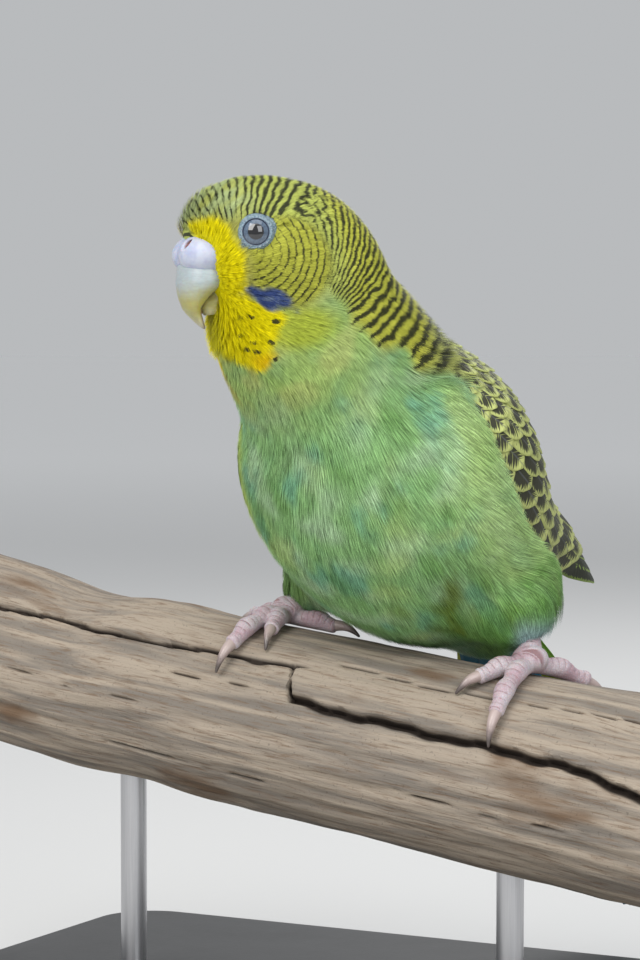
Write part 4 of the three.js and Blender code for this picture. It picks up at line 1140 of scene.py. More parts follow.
# Wings: flight feathers and rows of coverts lie over one another like tiles on the folded wing.
# Each feather is a thin curved vane with its own shaft. Its dark centre has a pale edge.
WING_CARRIER_AT = WING_LINE - 44 * axes_of(WING_PITCH)[1] + 3 * axes_of(WING_PITCH)[2]
WING_OVALS = TRUNK_OVALS + [oval(WING_CARRIER_AT, (11.5, 22, 9.5), axes_of(WING_PITCH))]
WING_LIFT = 0.45
VANE_STEPS = 18
VANE_ACROSS = 8
VANE_TILT = 0.16
VANE_CAMBER = 0.22
VANE_THICKNESS = 0.00009
WIDEST_VANE = math.radians(30)
VANE_INK = (0.020, 0.019, 0.020)
VANE_LIME = (0.42, 0.46, 0.16)
VANE_LEAF = (0.30, 0.42, 0.10)
VANE_SLATE = (0.10, 0.11, 0.12)
# Each row: how many feathers, the station of their roots and of the first and the last tip.
# Then the degrees round the wing of the first and the last root, and of the first and the last tip.
# Then width, height of the tips over the core, pale edge, pale tip and how long the dark mark is.
WING_ROWS = {
    "primary": (7, 34, (47, 54.5), (58, 84), (18, 44), 4.6, 0.0, 0.3, 0.5, 99),
    "secondary": (12, 28, (51, 43), (14, 86), (14, 76), 4.8, 0.4, 0.55, 1.2, 99),
    "secondary_covert": (12, 24, (46, 38.5), (13, 88), (13, 86), 4.8, 0.5, 0.6, 1.3, 99),
    "greater": (13, 20, (40.5, 33.5), (12, 96), (12, 95), 4.8, 0.6, 0.6, 1.3, 99),
    "greater_upper": (13, 15, (34.5, 28.5), (12, 99), (12, 98), 4.7, 0.65, 0.6, 1.3, 99),
    "median": (13, 12, (29, 24), (12, 101), (12, 100), 4.7, 0.7, 0.55, 1.2, 99),
    "median_upper": (13, 9, (24, 20), (12, 99), (12, 99), 4.6, 0.75, 0.5, 1.1, 6.0),
    "lesser_sixth": (13, 6, (19.6, 16.8), (12, 95), (12, 97), 4.4, 0.75, 0.4, 1.0, 4.2),
    "lesser_fifth": (12, 4, (16.4, 13.6), (12, 91), (12, 95), 4.3, 0.75, 0.4, 1.0, 3.0),
    "lesser_fourth": (12, 2, (13.4, 10.8), (14, 88), (14, 93), 4.1, 0.75, 0.4, 0.9, 2.5),
    "lesser_third": (11, 0, (10.6, 8.2), (16, 82), (16, 89), 4.0, 0.75, 0.35, 0.85, 2.2),
    "lesser_second": (10, -2, (8, 5.8), (20, 70), (20, 82), 3.7, 0.75, 0.3, 0.8, 2.0),
    "lesser_first": (9, -4, (5.6, 3.4), (24, 56), (24, 74), 3.5, 0.75, 0.3, 0.8, 1.9),
}


def on_wing(station, angle, height, side=1):
    """Points of the folded wing's form, at stations and angles, raised by heights."""
    _, along, back = axes_of(WING_PITCH)
    station, angle, height = np.broadcast_arrays(station, angle, height)
    centre = WING_LINE - station.reshape(-1, 1) * along
    turn = angle.reshape(-1) * side
    out = np.sin(turn)[:, None] * np.array([1, 0, 0]) + np.cos(turn)[:, None] * back
    reach = np.full(len(centre), 16.0)
    for _ in range(9):
        over, slope = over_form(centre + reach[:, None] * out, WING_OVALS)
        steep = np.maximum((slope * out).sum(1), 0.35)
        reach = np.clip(reach - (over - height.reshape(-1)) / steep, 1, 40)
    return (centre + reach[:, None] * out).reshape(*station.shape, 3)


def wing_height(station, angle):
    """How high the folded wing's feathers stand off the body: less at its front and at its lower edge."""
    edge = np.radians(np.interp(station, *WING_EDGE))
    hugging = 1 - 0.8 * rise(angle, edge - 0.3, edge)
    lift = WING_LIFT + 0.2 + 1.5 * rise(station, -4, 12) - 0.6 * rise(station, 14, 30)
    lift = lift + 1.5 * rise(station, 30, 42)
    return lift * hugging, hugging


def vane_shape(share):
    """A feather's half-width along its length, as a share: narrow at the root, rounded at the tip."""
    tip = np.where(share < 0.72, 1.0, np.sqrt(np.clip(1 - ((share - 0.72) / 0.285) ** 2, 0.0, 1)))
    return np.minimum(1, 0.55 + 1.6 * share) * tip


def vanes_mesh(name, sheets):
    """One mesh from sheets of points, with each sheet's fields and its patch of the unwrap."""
    rows, across = sheets[0]["points"].shape[:2]
    cell = np.arange(rows * across).reshape(rows, across)
    quads = np.stack([cell[:-1, :-1], cell[:-1, 1:], cell[1:, 1:], cell[1:, :-1]], -1).reshape(-1, 4)
    faces = np.concatenate([quads + number * rows * across for number in range(len(sheets))])
    mesh = bpy.data.meshes.new(name)
    points = np.concatenate([sheet["points"].reshape(-1, 3) for sheet in sheets])
    mesh.vertices.add(len(points))
    mesh.loops.add(len(faces) * 4)
    mesh.polygons.add(len(faces))
    mesh.loops.foreach_set("vertex_index", faces.ravel())
    mesh.polygons.foreach_set("loop_start", np.arange(len(faces)) * 4)
    mesh.vertices.foreach_set("co", placed(points).ravel())
    mesh.update(calc_edges=True)
    for field in ("ink", "barb", "shaft"):
        set_field(mesh, field, np.concatenate([sheet[field].ravel() for sheet in sheets]))
    tints = [np.broadcast_to(sheet["tint"], sheet["points"].shape).reshape(-1, 3) for sheet in sheets]
    set_field(mesh, "tint", np.concatenate(tints), "FLOAT_COLOR")
    bake = mesh.uv_layers.new(name="OFBake")
    roots = np.array([sheet["points"][0, across // 2] for sheet in sheets])
    share_x, share_y = np.meshgrid(np.linspace(-1, 1, across), np.linspace(-1, 1, rows))
    patch = 0.0015 * np.stack([share_x, share_y], -1)
    patches = (bake_place(roots)[:, None, None] + patch[None]).reshape(-1, 2)
    bake.data.foreach_set("uv", patches[faces.ravel()].ravel())
    return mesh


def vane_fields(length, width, share, aside, pale_edge, pale_tip, rng, mark=99):
    """Ink, barbs and shaft over a vane, from shares along it and across it."""
    half = width / 2 * vane_shape(share)
    x = aside * half
    y = share * length
    edge = half - np.abs(x)
    tip = (1 - share) * length
    inside = np.minimum(np.minimum(edge / pale_edge, tip / pale_tip) - 1, (mark - tip) / 0.8)
    return {"ink": inside, "barb": y - 0.85 * np.abs(x) + rng.random(), "shaft": np.abs(x)}


def thicken(piece):
    """Gives sheets the thickness of a feather."""
    plump = piece.modifiers.new("vane_thickness", "SOLIDIFY")
    plump.thickness = VANE_THICKNESS
    plump.offset = 0


vane = new_finish("flight_vane", Specular_IOR_Level=0.12)
place = object_place(vane)
tint = read_field(vane, "tint", "Color")
barb = read_field(vane, "barb")
lines_run = {"W": barb, "Scale": 3.6, "Detail": 2}
barb_lines = add(vane, "TexNoise", lines_run, noise_dimensions="1D").outputs["Fac"]
fringe = calc(vane, "MULTIPLY_ADD", barb_lines, 2.6, -1.15)
soft = calc(vane, "MULTIPLY_ADD", noise(vane, place, 700, 2), 0.5, -0.25)
ink = calc(vane, "ADD", calc(vane, "ADD", read_field(vane, "ink"), fringe), soft)
dark = calc(vane, "MULTIPLY", step_up(vane, ink, -0.2, 0.35), 0.95)
shaft = read_field(vane, "shaft")
streak = spread(vane, barb_lines, 0.72, 1.25)
lit = add(vane, "VectorMath", {0: tint, "Scale": streak}, operation="SCALE").outputs[0]
colour = tinted(vane, dark, lit, VANE_INK)
on_shaft = calc(vane, "MULTIPLY", step_up(vane, shaft, 0.16, 0.04), 0.45)
colour = tinted(vane, on_shaft, colour, VANE_SLATE)
wire(
    vane,
    colour,
    spread(vane, barb_lines, 0.42, 0.62),
    calc(vane, "SUBTRACT", barb_lines, step_up(vane, shaft, 0.3, 0.0)),
    bump_reach=0.00009,
    bump_share=0.6,
)


def wing_feather(side, row, number, rng):
    count, root, tips, starts, ends, width, over, pale_edge, pale_tip, mark = WING_ROWS[row]
    share_round = number / (count - 1)
    tip = tips[0] + (tips[1] - tips[0]) * share_round + 0.55 * rng.uniform(-1, 1)
    start = math.radians(starts[0] + (starts[1] - starts[0]) * share_round)
    end = math.radians(ends[0] + (ends[1] - ends[0]) * share_round + 0.8 * rng.uniform(-1, 1))
    width = width * (1 + 0.06 * rng.uniform(-1, 1))
    share = np.linspace(0, 1, VANE_STEPS + 1)[:, None] ** 0.9
    aside = np.linspace(-1, 1, VANE_ACROSS + 1)[None, :]
    station = root + (tip - root) * share
    angle = start + (end - start) * share
    middle = on_wing(station, angle, 0 * station)
    along = axes_of(WING_PITCH)[1]
    reach = np.linalg.norm(middle - (WING_LINE - station[..., None] * along), axis=-1)
    half = np.minimum(WIDEST_VANE, vane_shape(share) * width / 2 / reach)
    low, hugging = wing_height(station + 0 * aside, angle + aside * half)
    low = low + (-0.95 + (over + 0.95) * share) * (0.4 + 0.6 * hugging)
    sunk = 1.8 * (1 - rise(station, -3, 3))
    lower_edge = VANE_TILT * aside - VANE_CAMBER * aside**2 * (width / 6)
    height = np.maximum(-0.4, low + lower_edge + 0.25 + 0.04 * rng.uniform(-1, 1)) - sunk
    inner = np.radians(np.interp(station, *WING_EDGE))
    angle = np.minimum(angle, inner - 0.5 * half.max())
    points = on_wing(station + 0 * aside, angle + aside * half, height, side)
    length = tip - root
    pale_edge = pale_edge * rng.uniform(0.8, 1.7)
    pale_tip = pale_tip * rng.uniform(0.8, 1.5)
    share, aside = np.broadcast_arrays(share, aside)
    fields = vane_fields(length, width, share, aside, pale_edge, pale_tip, rng, mark)
    tint = np.array(VANE_LIME) * (0.85 + 0.3 * rng.random())
    if row == "primary":
        tint = np.array(VANE_LEAF) * 0.7
    return {"points": points, "tint": tint, **fields}


for side_name, side in (("left", 1), ("right", -1)):
    rng = np.random.default_rng(60 + side)
    sheets = []
    for row, (count, *_) in WING_ROWS.items():
        sheets += [wing_feather(side, row, number, rng) for number in range(count)]
    if side < 0:
        for sheet in sheets:
            for field in ("points", "ink", "barb", "shaft"):
                sheet[field] = sheet[field][:, ::-1]
    node = f"wing_{side_name}"
    name = f"{side_name}_wing_feathers"
    piece = keep_piece(name, vanes_mesh("wing", sheets), vane, [node])
    thicken(piece)

# Tail: six pairs of long graduated feathers, the middle pair longest and bluest.
# The outer pairs are yellow-green. Coverts lie over and under their roots.
TAIL_ROOT = np.array([0, 22, 3.5])
TAIL_PITCH = math.radians(50)
TAIL_ALONG = np.array([0, math.cos(TAIL_PITCH), -math.sin(TAIL_PITCH)])
TAIL_BACK = np.array([0, math.sin(TAIL_PITCH), math.cos(TAIL_PITCH)])
TAIL_LENGTH = 66
TAIL_PAIRS = 6
TAIL_FAN = 3.1
TAIL_STEP = 6
TAIL_ROOT_STEP = 0.6
TAIL_WIDTH = 6.8
TAIL_LEVEL = 0.42
TAIL_SAG = 0.0004
NO_INK = -1.0
TAIL_BLUE = (0.025, 0.12, 0.20)
TAIL_CYAN = (0.03, 0.22, 0.26)
TAIL_LIME = (0.44, 0.47, 0.03)
COVERT_FAN = 17
COVERT_WIDTH = 6.6
COVERT_GREEN = (0.16, 0.30, 0.05)
COVERT_BLUE = (0.05, 0.20, 0.30)
# Coverts: length of the middle one, level, and how many in the row
TAIL_COVERTS = [(30, 1.15, 5), (24, 1.6, 5), (17, 2.1, 5), (33, -2.2, 5), (26, -2.7, 5), (18, -3.3, 5)]


def tail_feather(side, fan, start, length, width, level, tint, rng, aside_root=1.0):
    share = np.linspace(0, 1, VANE_STEPS + 1)[:, None]
    aside = np.linspace(-1, 1, VANE_ACROSS + 1)[None, :]
    reach = start + (length - start) * share
    middle = side * (aside_root + math.sin(math.radians(fan)) * reach * (1 - 0.3 * reach / TAIL_LENGTH))
    x = middle + aside * vane_shape(share) * width / 2
    height = level - TAIL_SAG * reach**2 - 0.18 * aside**2 + 0 * x
    points = TAIL_ROOT + reach[..., None] * TAIL_ALONG + x[..., None] * np.array([1, 0, 0])
    points = points + height[..., None] * TAIL_BACK
    share, aside = np.broadcast_arrays(share, aside)
    fields = vane_fields(length - start, width, share, aside, 1, 1, rng)
    fields["ink"] = np.full_like(fields["ink"], NO_INK)
    return {"points": points, "tint": np.array(tint), **fields}


rng = np.random.default_rng(71)
sheets = []
for pair in range(TAIL_PAIRS):
    for side in (-1, 1):
        length = TAIL_LENGTH - TAIL_STEP * pair + rng.uniform(-1, 1)
        level = 0.8 - TAIL_LEVEL * (pair + (0.5 if side > 0 else 0)) + 0.25
        outer = pair / (TAIL_PAIRS - 1)
        inner_tint = np.array(TAIL_BLUE if pair == 0 else TAIL_CYAN)
        tint = inner_tint * (1 - outer) + np.array(TAIL_LIME) * outer
        aside_root = 1 + TAIL_ROOT_STEP * pair
        fan = TAIL_FAN * (pair + 0.5)
        sheets.append(tail_feather(side, fan, 2, length, TAIL_WIDTH, level, tint, rng, aside_root))
for length, level, count in TAIL_COVERTS:
    for place_across in np.linspace(-1, 1, count):
        side = -1 if place_across < 0 else 1
        reach = length - 4 * abs(place_across)
        tint = np.array(COVERT_GREEN if level > 0 else COVERT_BLUE) * rng.uniform(0.85, 1.2)
        lower = level - 0.3 * abs(place_across)
        fan = COVERT_FAN * abs(place_across)
        side = side * (place_across != 0)
        sheets.append(tail_feather(side, fan, -1, reach, COVERT_WIDTH, lower, tint, rng))
piece = keep_piece("tail_feathers", vanes_mesh("tail", sheets), vane, ["tail"])
thicken(piece)

# Flanks: longer soft feathers from the sides of the breast, laid over the lower edge of each wing.
# They come up round the wing's front and cover the roots of its lowest feathers.
FLANK_REACH = 22
FLANK_STATIONS = (-4, 36)
FLANK_POINTS = 60000
FLANK_SPACING = 0.9
FLANK_LENGTH = 4.6
FLANK_WIDTH = 2.8
FLANK_OVER_WING = 1.2

roots = scattered(skin_mesh, FLANK_POINTS, 14)
roots, out = laid_at(roots, 0.0, 3)
station, round_angle = wing_station(roots)
past_edge = np.degrees(round_angle) - np.interp(station, *WING_EDGE)
beside = (station > FLANK_STATIONS[0]) & (station < FLANK_STATIONS[1])
kept = np.flatnonzero(beside & (past_edge > 0) & (past_edge < FLANK_REACH))
kept = kept[thinned(roots[kept], np.full(len(kept), FLANK_SPACING))]
roots, out, station, past_edge = roots[kept], out[kept], station[kept], past_edge[kept]
side = np.sign(roots[:, 0])
edge_station = station + 4.5
edge_angle = np.radians(np.interp(edge_station, *WING_EDGE) - 3)
over_core = wing_height(edge_station, edge_angle)[0] + FLANK_OVER_WING
edge_points = np.empty_like(roots)
for one in (1, -1):
    chosen = side == one
    edge_points[chosen] = on_wing(edge_station[chosen], edge_angle[chosen], over_core[chosen], one)
edge_height = np.clip(over_form(edge_points)[0], 0.5, 7)
over_edge = 1 - np.clip(past_edge, 0, 99) / FLANK_REACH
lie, _ = lie_at(roots, out)
toward_edge = unit(edge_points - roots)
lie = lie * (1 - 0.75 * over_edge)[:, None] + toward_edge * (0.75 * over_edge)[:, None]
lie = unit(lie - (lie * out).sum(1)[:, None] * out)
rng = np.random.default_rng(15)
jitter = (0.85, 1.15, len(roots))
length = (FLANK_LENGTH + 1.5 * over_edge) * rng.uniform(*jitter)
width = FLANK_WIDTH * rng.uniform(*jitter)
tip = 0.3 + (edge_height + 0.35) * over_edge**0.8 * rng.uniform(0.85, 1.05, len(roots))
depth = np.full(len(roots), 0.6)
mesh = grow("coat_flank", roots, lie, out, length, width, 24, depth, tip, 46, 0.42, bend=0.5)
keep_piece("coat_flank", mesh, plumage)

# Eyes: dark glossy balls under clear corneas, each in a ring of bare pale blue skin with fine folds.
# A young bird's iris is grey-blue, without the white ring of an adult. A navy rim runs round it.
EYE_RADIUS = 2.9
EYE_PLACE = (4.1, 7.45, 3.1)
EYE_LOOKS = (0.3, 0.94, 0.08)
IRIS_REACH = 0.52
PUPIL_REACH = 0.37
CORNEA_RISE = 0.16
RING_REACH = (1.74, 2.95)
PUPIL_BLACK = (0.003, 0.003, 0.004)
IRIS_GREY = (0.045, 0.075, 0.12)
IRIS_PALE = (0.09, 0.13, 0.19)
IRIS_NAVY = (0.004, 0.006, 0.022)
RING_BLUE = (0.25, 0.33, 0.38)
RING_SHADE = (0.10, 0.155, 0.20)
LID_DARK = (0.05, 0.07, 0.11)


def eye_axes(side):
    """The eye's middle, and the directions across, up and out along its line of sight."""
    forward, left, up = EYE_PLACE
    middle = on_head(forward, side * left, up)
    forward, left, up = EYE_LOOKS
    out = on_head(forward, side * left, up) - HEAD_AT
    out /= np.linalg.norm(out)
    across = np.cross(HEAD_AXES[2], out)
    across /= np.linalg.norm(across)
    return middle, across, np.cross(out, across), out


eye_gloss = new_finish(
    "eye_gloss", Roughness=0.03, Coat_Weight=1.0, Coat_Roughness=0.02, Specular_IOR_Level=0.6
)
place = object_place(eye_gloss)
reach = read_field(eye_gloss, "from_sight")
fibres = noise(eye_gloss, place, 3500, 3)
iris = tinted(eye_gloss, step_up(eye_gloss, fibres, 0.3, 0.7), IRIS_GREY, IRIS_PALE)
past_pupil = step_up(eye_gloss, reach, PUPIL_REACH - 0.02, PUPIL_REACH + 0.03)
colour = tinted(eye_gloss, past_pupil, PUPIL_BLACK, iris)
past_iris = step_up(eye_gloss, reach, IRIS_REACH + 0.05, IRIS_REACH + 0.13)
colour = tinted(eye_gloss, past_iris, colour, IRIS_NAVY)
wire(eye_gloss, colour)

lid_skin = new_finish("lid_skin", Specular_IOR_Level=0.4, Subsurface_Weight=0.1, Subsurface_Scale=0.0004)
place = object_place(lid_skin)
beads = add(lid_skin, "TexVoronoi", {"Vector": place, "Scale": 5200}, feature="F1").outputs["Distance"]
rim_reach = read_field(lid_skin, "from_sight")
colour = tinted(lid_skin, step_up(lid_skin, beads, 0.35, 0.75), RING_BLUE, RING_SHADE)
colour = tinted(lid_skin, step_up(lid_skin, rim_reach, 1.98, 1.8), colour, LID_DARK)
wire(
    lid_skin,
    colour,
    spread(lid_skin, beads, 0.45, 0.65),
    calc(lid_skin, "SUBTRACT", 1.0, beads),
    bump_reach=0.00012,
)

for side_name, side in (("left", 1), ("right", -1)):
    middle, across, up, out = eye_axes(side)
    ball = bmesh.new()
    bmesh.ops.create_uvsphere(ball, u_segments=64, v_segments=48, radius=EYE_RADIUS * MM)
    basis = Matrix((across, up, out)).transposed()
    bmesh.ops.rotate(ball, matrix=basis, verts=ball.verts)
    bmesh.ops.translate(ball, vec=Vector(placed(middle)), verts=ball.verts)
    ball_mesh = mesh_from(ball, "eye")
    points = points_of(ball_mesh)
    off = (points - middle) / EYE_RADIUS
    turn = np.arccos(np.clip(off @ out, -1, 1))
    set_field(ball_mesh, "from_sight", turn)
    bulge = CORNEA_RISE * (1 - rise(turn, 0.15, 0.72))
    set_points(ball_mesh, points + bulge[:, None] * off)
    keep_piece(f"{side_name}_eyeball", ball_mesh, eye_gloss, [f"eye_{side_name}"])

    def ring_at(share, turn):
        """The bare skin: it starts on the eyeball, swells into a rim and sinks under the feathers."""
        turn = turn * 2 * math.pi
        pointed = 0.5 * np.maximum(0, np.cos(turn - 0.25)) ** 10
        pointed = pointed + 1.5 * np.maximum(0, -np.cos(turn - 0.6)) ** 8
        reach = RING_REACH[0] + (RING_REACH[1] - RING_REACH[0] + 0.95 * pointed) * share
        on_ball = np.sqrt(np.maximum(0, EYE_RADIUS**2 - np.minimum(reach, 2.6) ** 2))
        swell = 0.42 * np.sin(np.clip(share * 1.35, 0, 1) * math.pi) ** 0.7
        folds = 0.05 * np.sin(share * 22) + 0.035 * np.sin(turn * 26 + 4 * np.sin(share * 9))
        height = on_ball - 0.06 + swell + folds * np.sin(np.clip(share * 1.2, 0, 1) * math.pi)
        height = height - 0.55 * rise(share, 0.6, 1.0) - 0.5 * pointed * share**2
        return (
            middle
            + (reach * np.cos(turn))[:, None] * across * side
            + (reach * np.sin(turn))[:, None] * up
            + height[:, None] * out
        )

    ring = wrapped(26, 150, ring_at)
    ring_mesh = mesh_from(ring, "ring")
    off = points_of(ring_mesh) - middle
    set_field(ring_mesh, "from_sight", np.hypot(off @ across, off @ up))
    keep_piece(f"{side_name}_eye_skin", ring_mesh, lid_skin, [f"eye_ring_{side_name}"])

# Cere: two smooth waxy swellings over the bill, pale lavender as in a young bird, each with its nostril.
CERE_AT = (9.3, 1.4, 1.15)
CERE_HALF = (4.2, 4.45, 3.1)
NOSTRIL_AT = (12.6, 2.6, 2.8)
NOSTRIL_HALF = (0.62, 0.62)
CERE_PALE = (0.36, 0.39, 0.54)
CERE_WHITE = (0.47, 0.50, 0.60)
NOSTRIL_RED_SHADE = (0.16, 0.055, 0.05)

cere_wax = new_finish("cere_wax", Specular_IOR_Level=0.45, Subsurface_Weight=0.2, Subsurface_Scale=0.0007)
place = object_place(cere_wax)
hole = read_field(cere_wax, "nostril")
veined = noise(cere_wax, place, 500, 3)
pores = noise(cere_wax, place, 4200, 2)
colour = tinted(cere_wax, step_up(cere_wax, veined, 0.35, 0.65), CERE_PALE, CERE_WHITE)
# The nostril holes are darkened with a reddish painted shade.
colour = tinted(cere_wax, step_up(cere_wax, hole, 0.15, 0.75), colour, NOSTRIL_RED_SHADE)
wire(
    cere_wax,
    colour,
    spread(cere_wax, pores, 0.36, 0.52),
    pores,
    bump_reach=0.00003,
)
lobes = []
for side in (1, -1):
    lobe = bmesh.new()
    bmesh.ops.create_icosphere(lobe, subdivisions=5, radius=MM)
    bmesh.ops.scale(lobe, vec=CERE_HALF, verts=lobe.verts)
    bmesh.ops.rotate(lobe, matrix=Matrix(HEAD_AXES).transposed(), verts=lobe.verts)
    forward, left, up = CERE_AT
    bmesh.ops.translate(lobe, vec=Vector(placed(on_head(forward, side * left, up))), verts=lobe.verts)
    lobes.append(lobe)
cere_mesh = melted_together(gathered(lobes), 0.00011, 14)
points = points_of(cere_mesh)
forward, left, up = head_place(points)
run = np.hypot((np.abs(left) - NOSTRIL_AT[1]) / NOSTRIL_HALF[0], (up - NOSTRIL_AT[2]) / NOSTRIL_HALF[1])
hole = (1 - rise(run, 0.55, 1.15)) * rise(forward, 8, 10)
rim = np.exp(-(((run - 1.35) / 0.35) ** 2)) * rise(forward, 8, 10)
set_field(cere_mesh, "nostril", hole)
set_points(cere_mesh, points - np.outer(0.75 * hole - 0.08 * rim, HEAD_AXES[1]))
keep_piece("cere_skin", cere_mesh, cere_wax, ["cere"])

# Bill: two plates of horn, the upper one hooked down over the small lower one.
# It is blue-grey and clear at the top, yellow-olive further down, and grows in fine layers.
# Slices of each plate: height from the skull's middle, back edge, front edge and half its width
UPPER_SLICES = [
    (0.6, 6.0, 13.2, 3.6), (-0.6, 6.2, 13.75, 4.2), (-1.5, 6.2, 13.95, 4.4), (-2.5, 6.8, 14.1, 4.4),
    (-3.6, 8.2, 14.1, 3.9), (-4.7, 10.0, 14.0, 3.1), (-6.1, 11.3, 13.65, 2.3), (-6.8, 11.4, 13.25, 1.9),
    (-8.3, 11.15, 12.1, 1.1), (-9.3, 10.9, 11.2, 0.35),
]  # fmt: skip
LOWER_SLICES = [
    (-3.8, 4.4, 9.8, 1.9), (-5.4, 5.4, 11.2, 1.9), (-6.2, 6.4, 11.4, 1.7), (-6.9, 7.6, 11.2, 1.3),
    (-7.4, 8.6, 10.8, 0.7),
]  # fmt: skip
BILL_STEPS = 90
BILL_ROUND = 72
HORN_BLUE = (0.36, 0.42, 0.44)
HORN_OLIVE = (0.36, 0.34, 0.10)
HORN_PALE = (0.52, 0.50, 0.34)
HORN_LINES_AND_ROOT_SHADE = (0.16, 0.11, 0.12)

bill_horn = new_finish(
    "bill_horn",
    Specular_IOR_Level=0.5,
    Coat_Weight=0.25,
    Coat_Roughness=0.3,
    Subsurface_Weight=0.15,
    Subsurface_Scale=0.0008,
)
place = object_place(bill_horn)
drop = read_field(bill_horn, "drop")
brow = read_field(bill_horn, "from_edge")
layers = add(bill_horn, "Mapping", {"Vector": place, "Scale": (1, 1, 4)}).outputs[0]
layered = noise(bill_horn, layers, 900, 4)
cloud = noise(bill_horn, place, 420, 3)
down = calc(bill_horn, "ADD", drop, calc(bill_horn, "MULTIPLY_ADD", cloud, 3.0, -1.5))
colour = tinted(bill_horn, step_up(bill_horn, down, 3.0, 6.2), HORN_BLUE, HORN_OLIVE)
colour = tinted(bill_horn, step_up(bill_horn, down, 7.0, 9.8), colour, HORN_PALE)
layer_lines = calc(bill_horn, "MULTIPLY", step_up(bill_horn, layered, 0.6, 0.4), 0.13)
colour = tinted(bill_horn, layer_lines, colour, HORN_LINES_AND_ROOT_SHADE)
# Painted shade along each plate's back edge, where it runs into the face.
colour = tinted(bill_horn, step_up(bill_horn, brow, 0.7, 0.0), colour, HORN_LINES_AND_ROOT_SHADE)
wire(
    bill_horn,
    colour,
    spread(bill_horn, layered, 0.28, 0.45),
    layered,
    bump_reach=0.00007,
)


def bill_plate(slices):
    """A horn plate through its slices, closed at both ends and smoothed."""
    table = np.array(slices)
    knots = np.linspace(0, 1, len(table))

    def at(share, turn):
        up, back, front, half = (np.interp(share, knots, table[:, k]) for k in range(4))
        turn = turn * 2 * math.pi
        forward = (back + front) / 2 + np.cos(turn) * (front - back) / 2
        bulge = np.where(np.cos(turn) < 0, 0.7, 0.9)
        aside = np.sign(np.sin(turn)) * np.abs(np.sin(turn)) ** bulge * half
        close = np.sqrt(np.clip(np.minimum(share, 1 - share) / 0.03, 0, 1))
        forward = (back + front) / 2 + (forward - (back + front) / 2) * close
        return HEAD_AT + np.stack([aside * close, forward, up], 1) @ HEAD_AXES

    shape = wrapped(BILL_STEPS, BILL_ROUND, at)
    for _ in range(6):
        bmesh.ops.smooth_vert(
            shape, verts=shape.verts, factor=0.5, use_axis_x=True, use_axis_y=True, use_axis_z=True
        )
    mesh = mesh_from(shape, "bill")
    forward, _, up = head_place(points_of(mesh))
    set_field(mesh, "drop", 1 - up)
    back = np.interp(-up, -table[:, 0], table[:, 1])
    set_field(mesh, "from_edge", np.clip(forward - back, 0, 9))
    return mesh


keep_piece("upper_bill_horn", bill_plate(UPPER_SLICES), bill_horn, ["bill_upper"])
keep_piece("lower_bill_horn", bill_plate(LOWER_SLICES), bill_horn, ["bill_lower"])

# The setting: a pale floor, with painted light whitening it further out, under soft studio light, seen
# from where the photograph was taken.
# Floor and lights aren't part of the object. The camera's long lens keeps the photograph's perspective.
FLOOR_PALE = (0.62, 0.62, 0.615)
FLOOR_REACH = 12.0
WORLD_PALE = (0.78, 0.80, 0.82)
WORLD_STRENGTH = 0.62
CAMERA_AZIMUTH = math.radians(38)
CAMERA_ELEVATION = math.radians(6)
CAMERA_DISTANCE = 0.450
CAMERA_LENS = 114.75
CREST_AT = Vector((0, 0, 0.060))
LIGHTS_AIM_AT = Vector((0.0, -0.015, 0.095))
PIXELS_PER_METRE = 6800
CREST_PIXEL = (400, 650)
MIDDLE_PIXEL = (320, 480)
# Softboxes: azimuth and elevation round the bird, distance, width, height, power and colour
SOFTBOXES = [
    ("key_light", 2, 38, 0.55, 0.34, 0.44, 2.5, (1.0, 0.985, 0.96)),
    ("fill_light", 66, 26, 0.62, 0.34, 0.44, 1.7, (0.97, 0.985, 1.0)),
    ("top_light", 60, 78, 0.60, 0.50, 0.50, 0.9, (1.0, 1.0, 1.0)),
    ("rim_light", 200, 40, 0.70, 0.30, 0.40, 1.6, (1.0, 1.0, 1.0)),
]

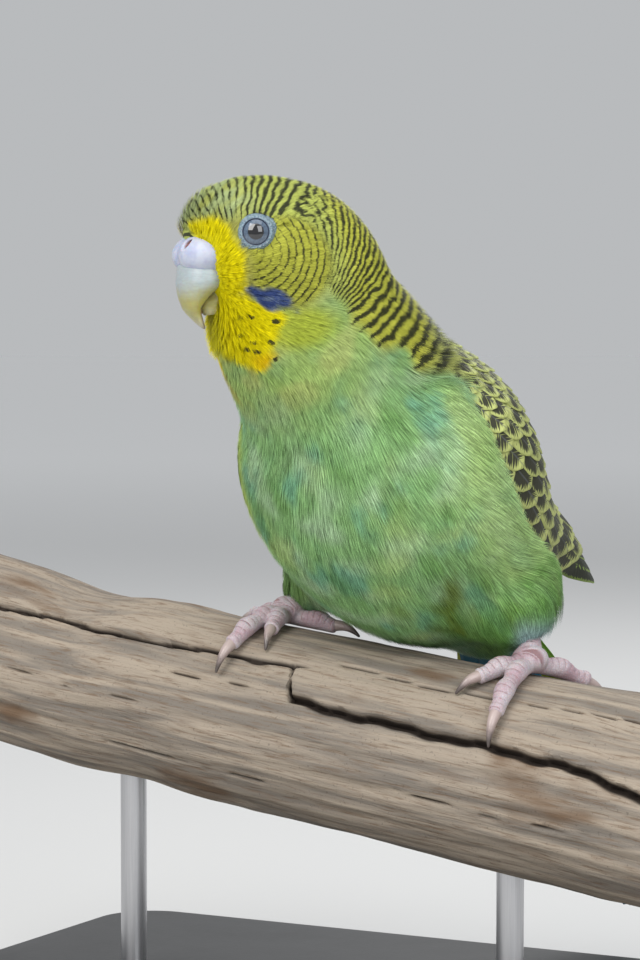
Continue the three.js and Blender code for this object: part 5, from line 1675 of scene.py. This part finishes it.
floor_finish = new_finish("pale_floor")
place = object_place(floor_finish)
cloudy = noise(floor_finish, place, 3, 2)
away = add(floor_finish, "VectorMath", {0: place}, operation="LENGTH").outputs["Value"]
# Painted light: the floor grows whiter away from the bird, into the backdrop.
pale = tinted(floor_finish, step_up(floor_finish, away, 0.2, 2.2), FLOOR_PALE, (1, 1, 1))
wire(
    floor_finish,
    tinted(floor_finish, calc(floor_finish, "MULTIPLY", cloudy, 0.06), pale, (1, 1, 1)),
    spread(floor_finish, cloudy, 0.7, 0.8),
)
floor = bmesh.new()
bmesh.ops.create_circle(floor, cap_ends=True, segments=96, radius=FLOOR_REACH)
floor_mesh = mesh_from(floor, "floor")
floor_mesh.materials.append(floor_finish)
floor_piece = bpy.data.objects.new("floor", floor_mesh)
bpy.context.scene.collection.objects.link(floor_piece)

world = bpy.data.worlds.new("studio")
bpy.context.scene.world = world
world.use_nodes = True
backdrop = world.node_tree.nodes["Background"]
backdrop.inputs["Color"].default_value = (*WORLD_PALE, 1)
backdrop.inputs["Strength"].default_value = WORLD_STRENGTH
bpy.context.scene.view_settings.view_transform = "Standard"


def toward(azimuth, elevation):
    """The direction out to an azimuth, 0 in front of the bird, and an elevation."""
    level = math.cos(elevation)
    return Vector((math.sin(azimuth) * level, -math.cos(azimuth) * level, math.sin(elevation)))


for name, azimuth, elevation, distance, width, height, power, colour in SOFTBOXES:
    box_light = bpy.data.lights.new(name, "AREA")
    box_light.shape = "RECTANGLE"
    box_light.size = width
    box_light.size_y = height
    box_light.energy = power
    box_light.color = colour
    softbox = bpy.data.objects.new(name, box_light)
    out = toward(math.radians(azimuth), math.radians(elevation))
    softbox.location = LIGHTS_AIM_AT + out * distance
    softbox.rotation_euler = out.to_track_quat("Z", "Y").to_euler()
    bpy.context.scene.collection.objects.link(softbox)

back = toward(CAMERA_AZIMUTH, CAMERA_ELEVATION)
right = Vector((math.cos(CAMERA_AZIMUTH), math.sin(CAMERA_AZIMUTH), 0))
across = (MIDDLE_PIXEL[0] - CREST_PIXEL[0]) / PIXELS_PER_METRE
upward = (CREST_PIXEL[1] - MIDDLE_PIXEL[1]) / PIXELS_PER_METRE
looked_at = CREST_AT + right * across + back.cross(right) * upward
camera_data = bpy.data.cameras.new("camera")
camera_data.lens = CAMERA_LENS
camera_data.clip_start = 0.01
camera_data.clip_end = 20
camera = bpy.data.objects.new("camera", camera_data)
camera.location = CREST_AT + back * CAMERA_DISTANCE
camera.rotation_euler = (camera.location - looked_at).to_track_quat("Z", "Y").to_euler()
bpy.context.scene.collection.objects.link(camera)
bpy.context.scene.camera = camera
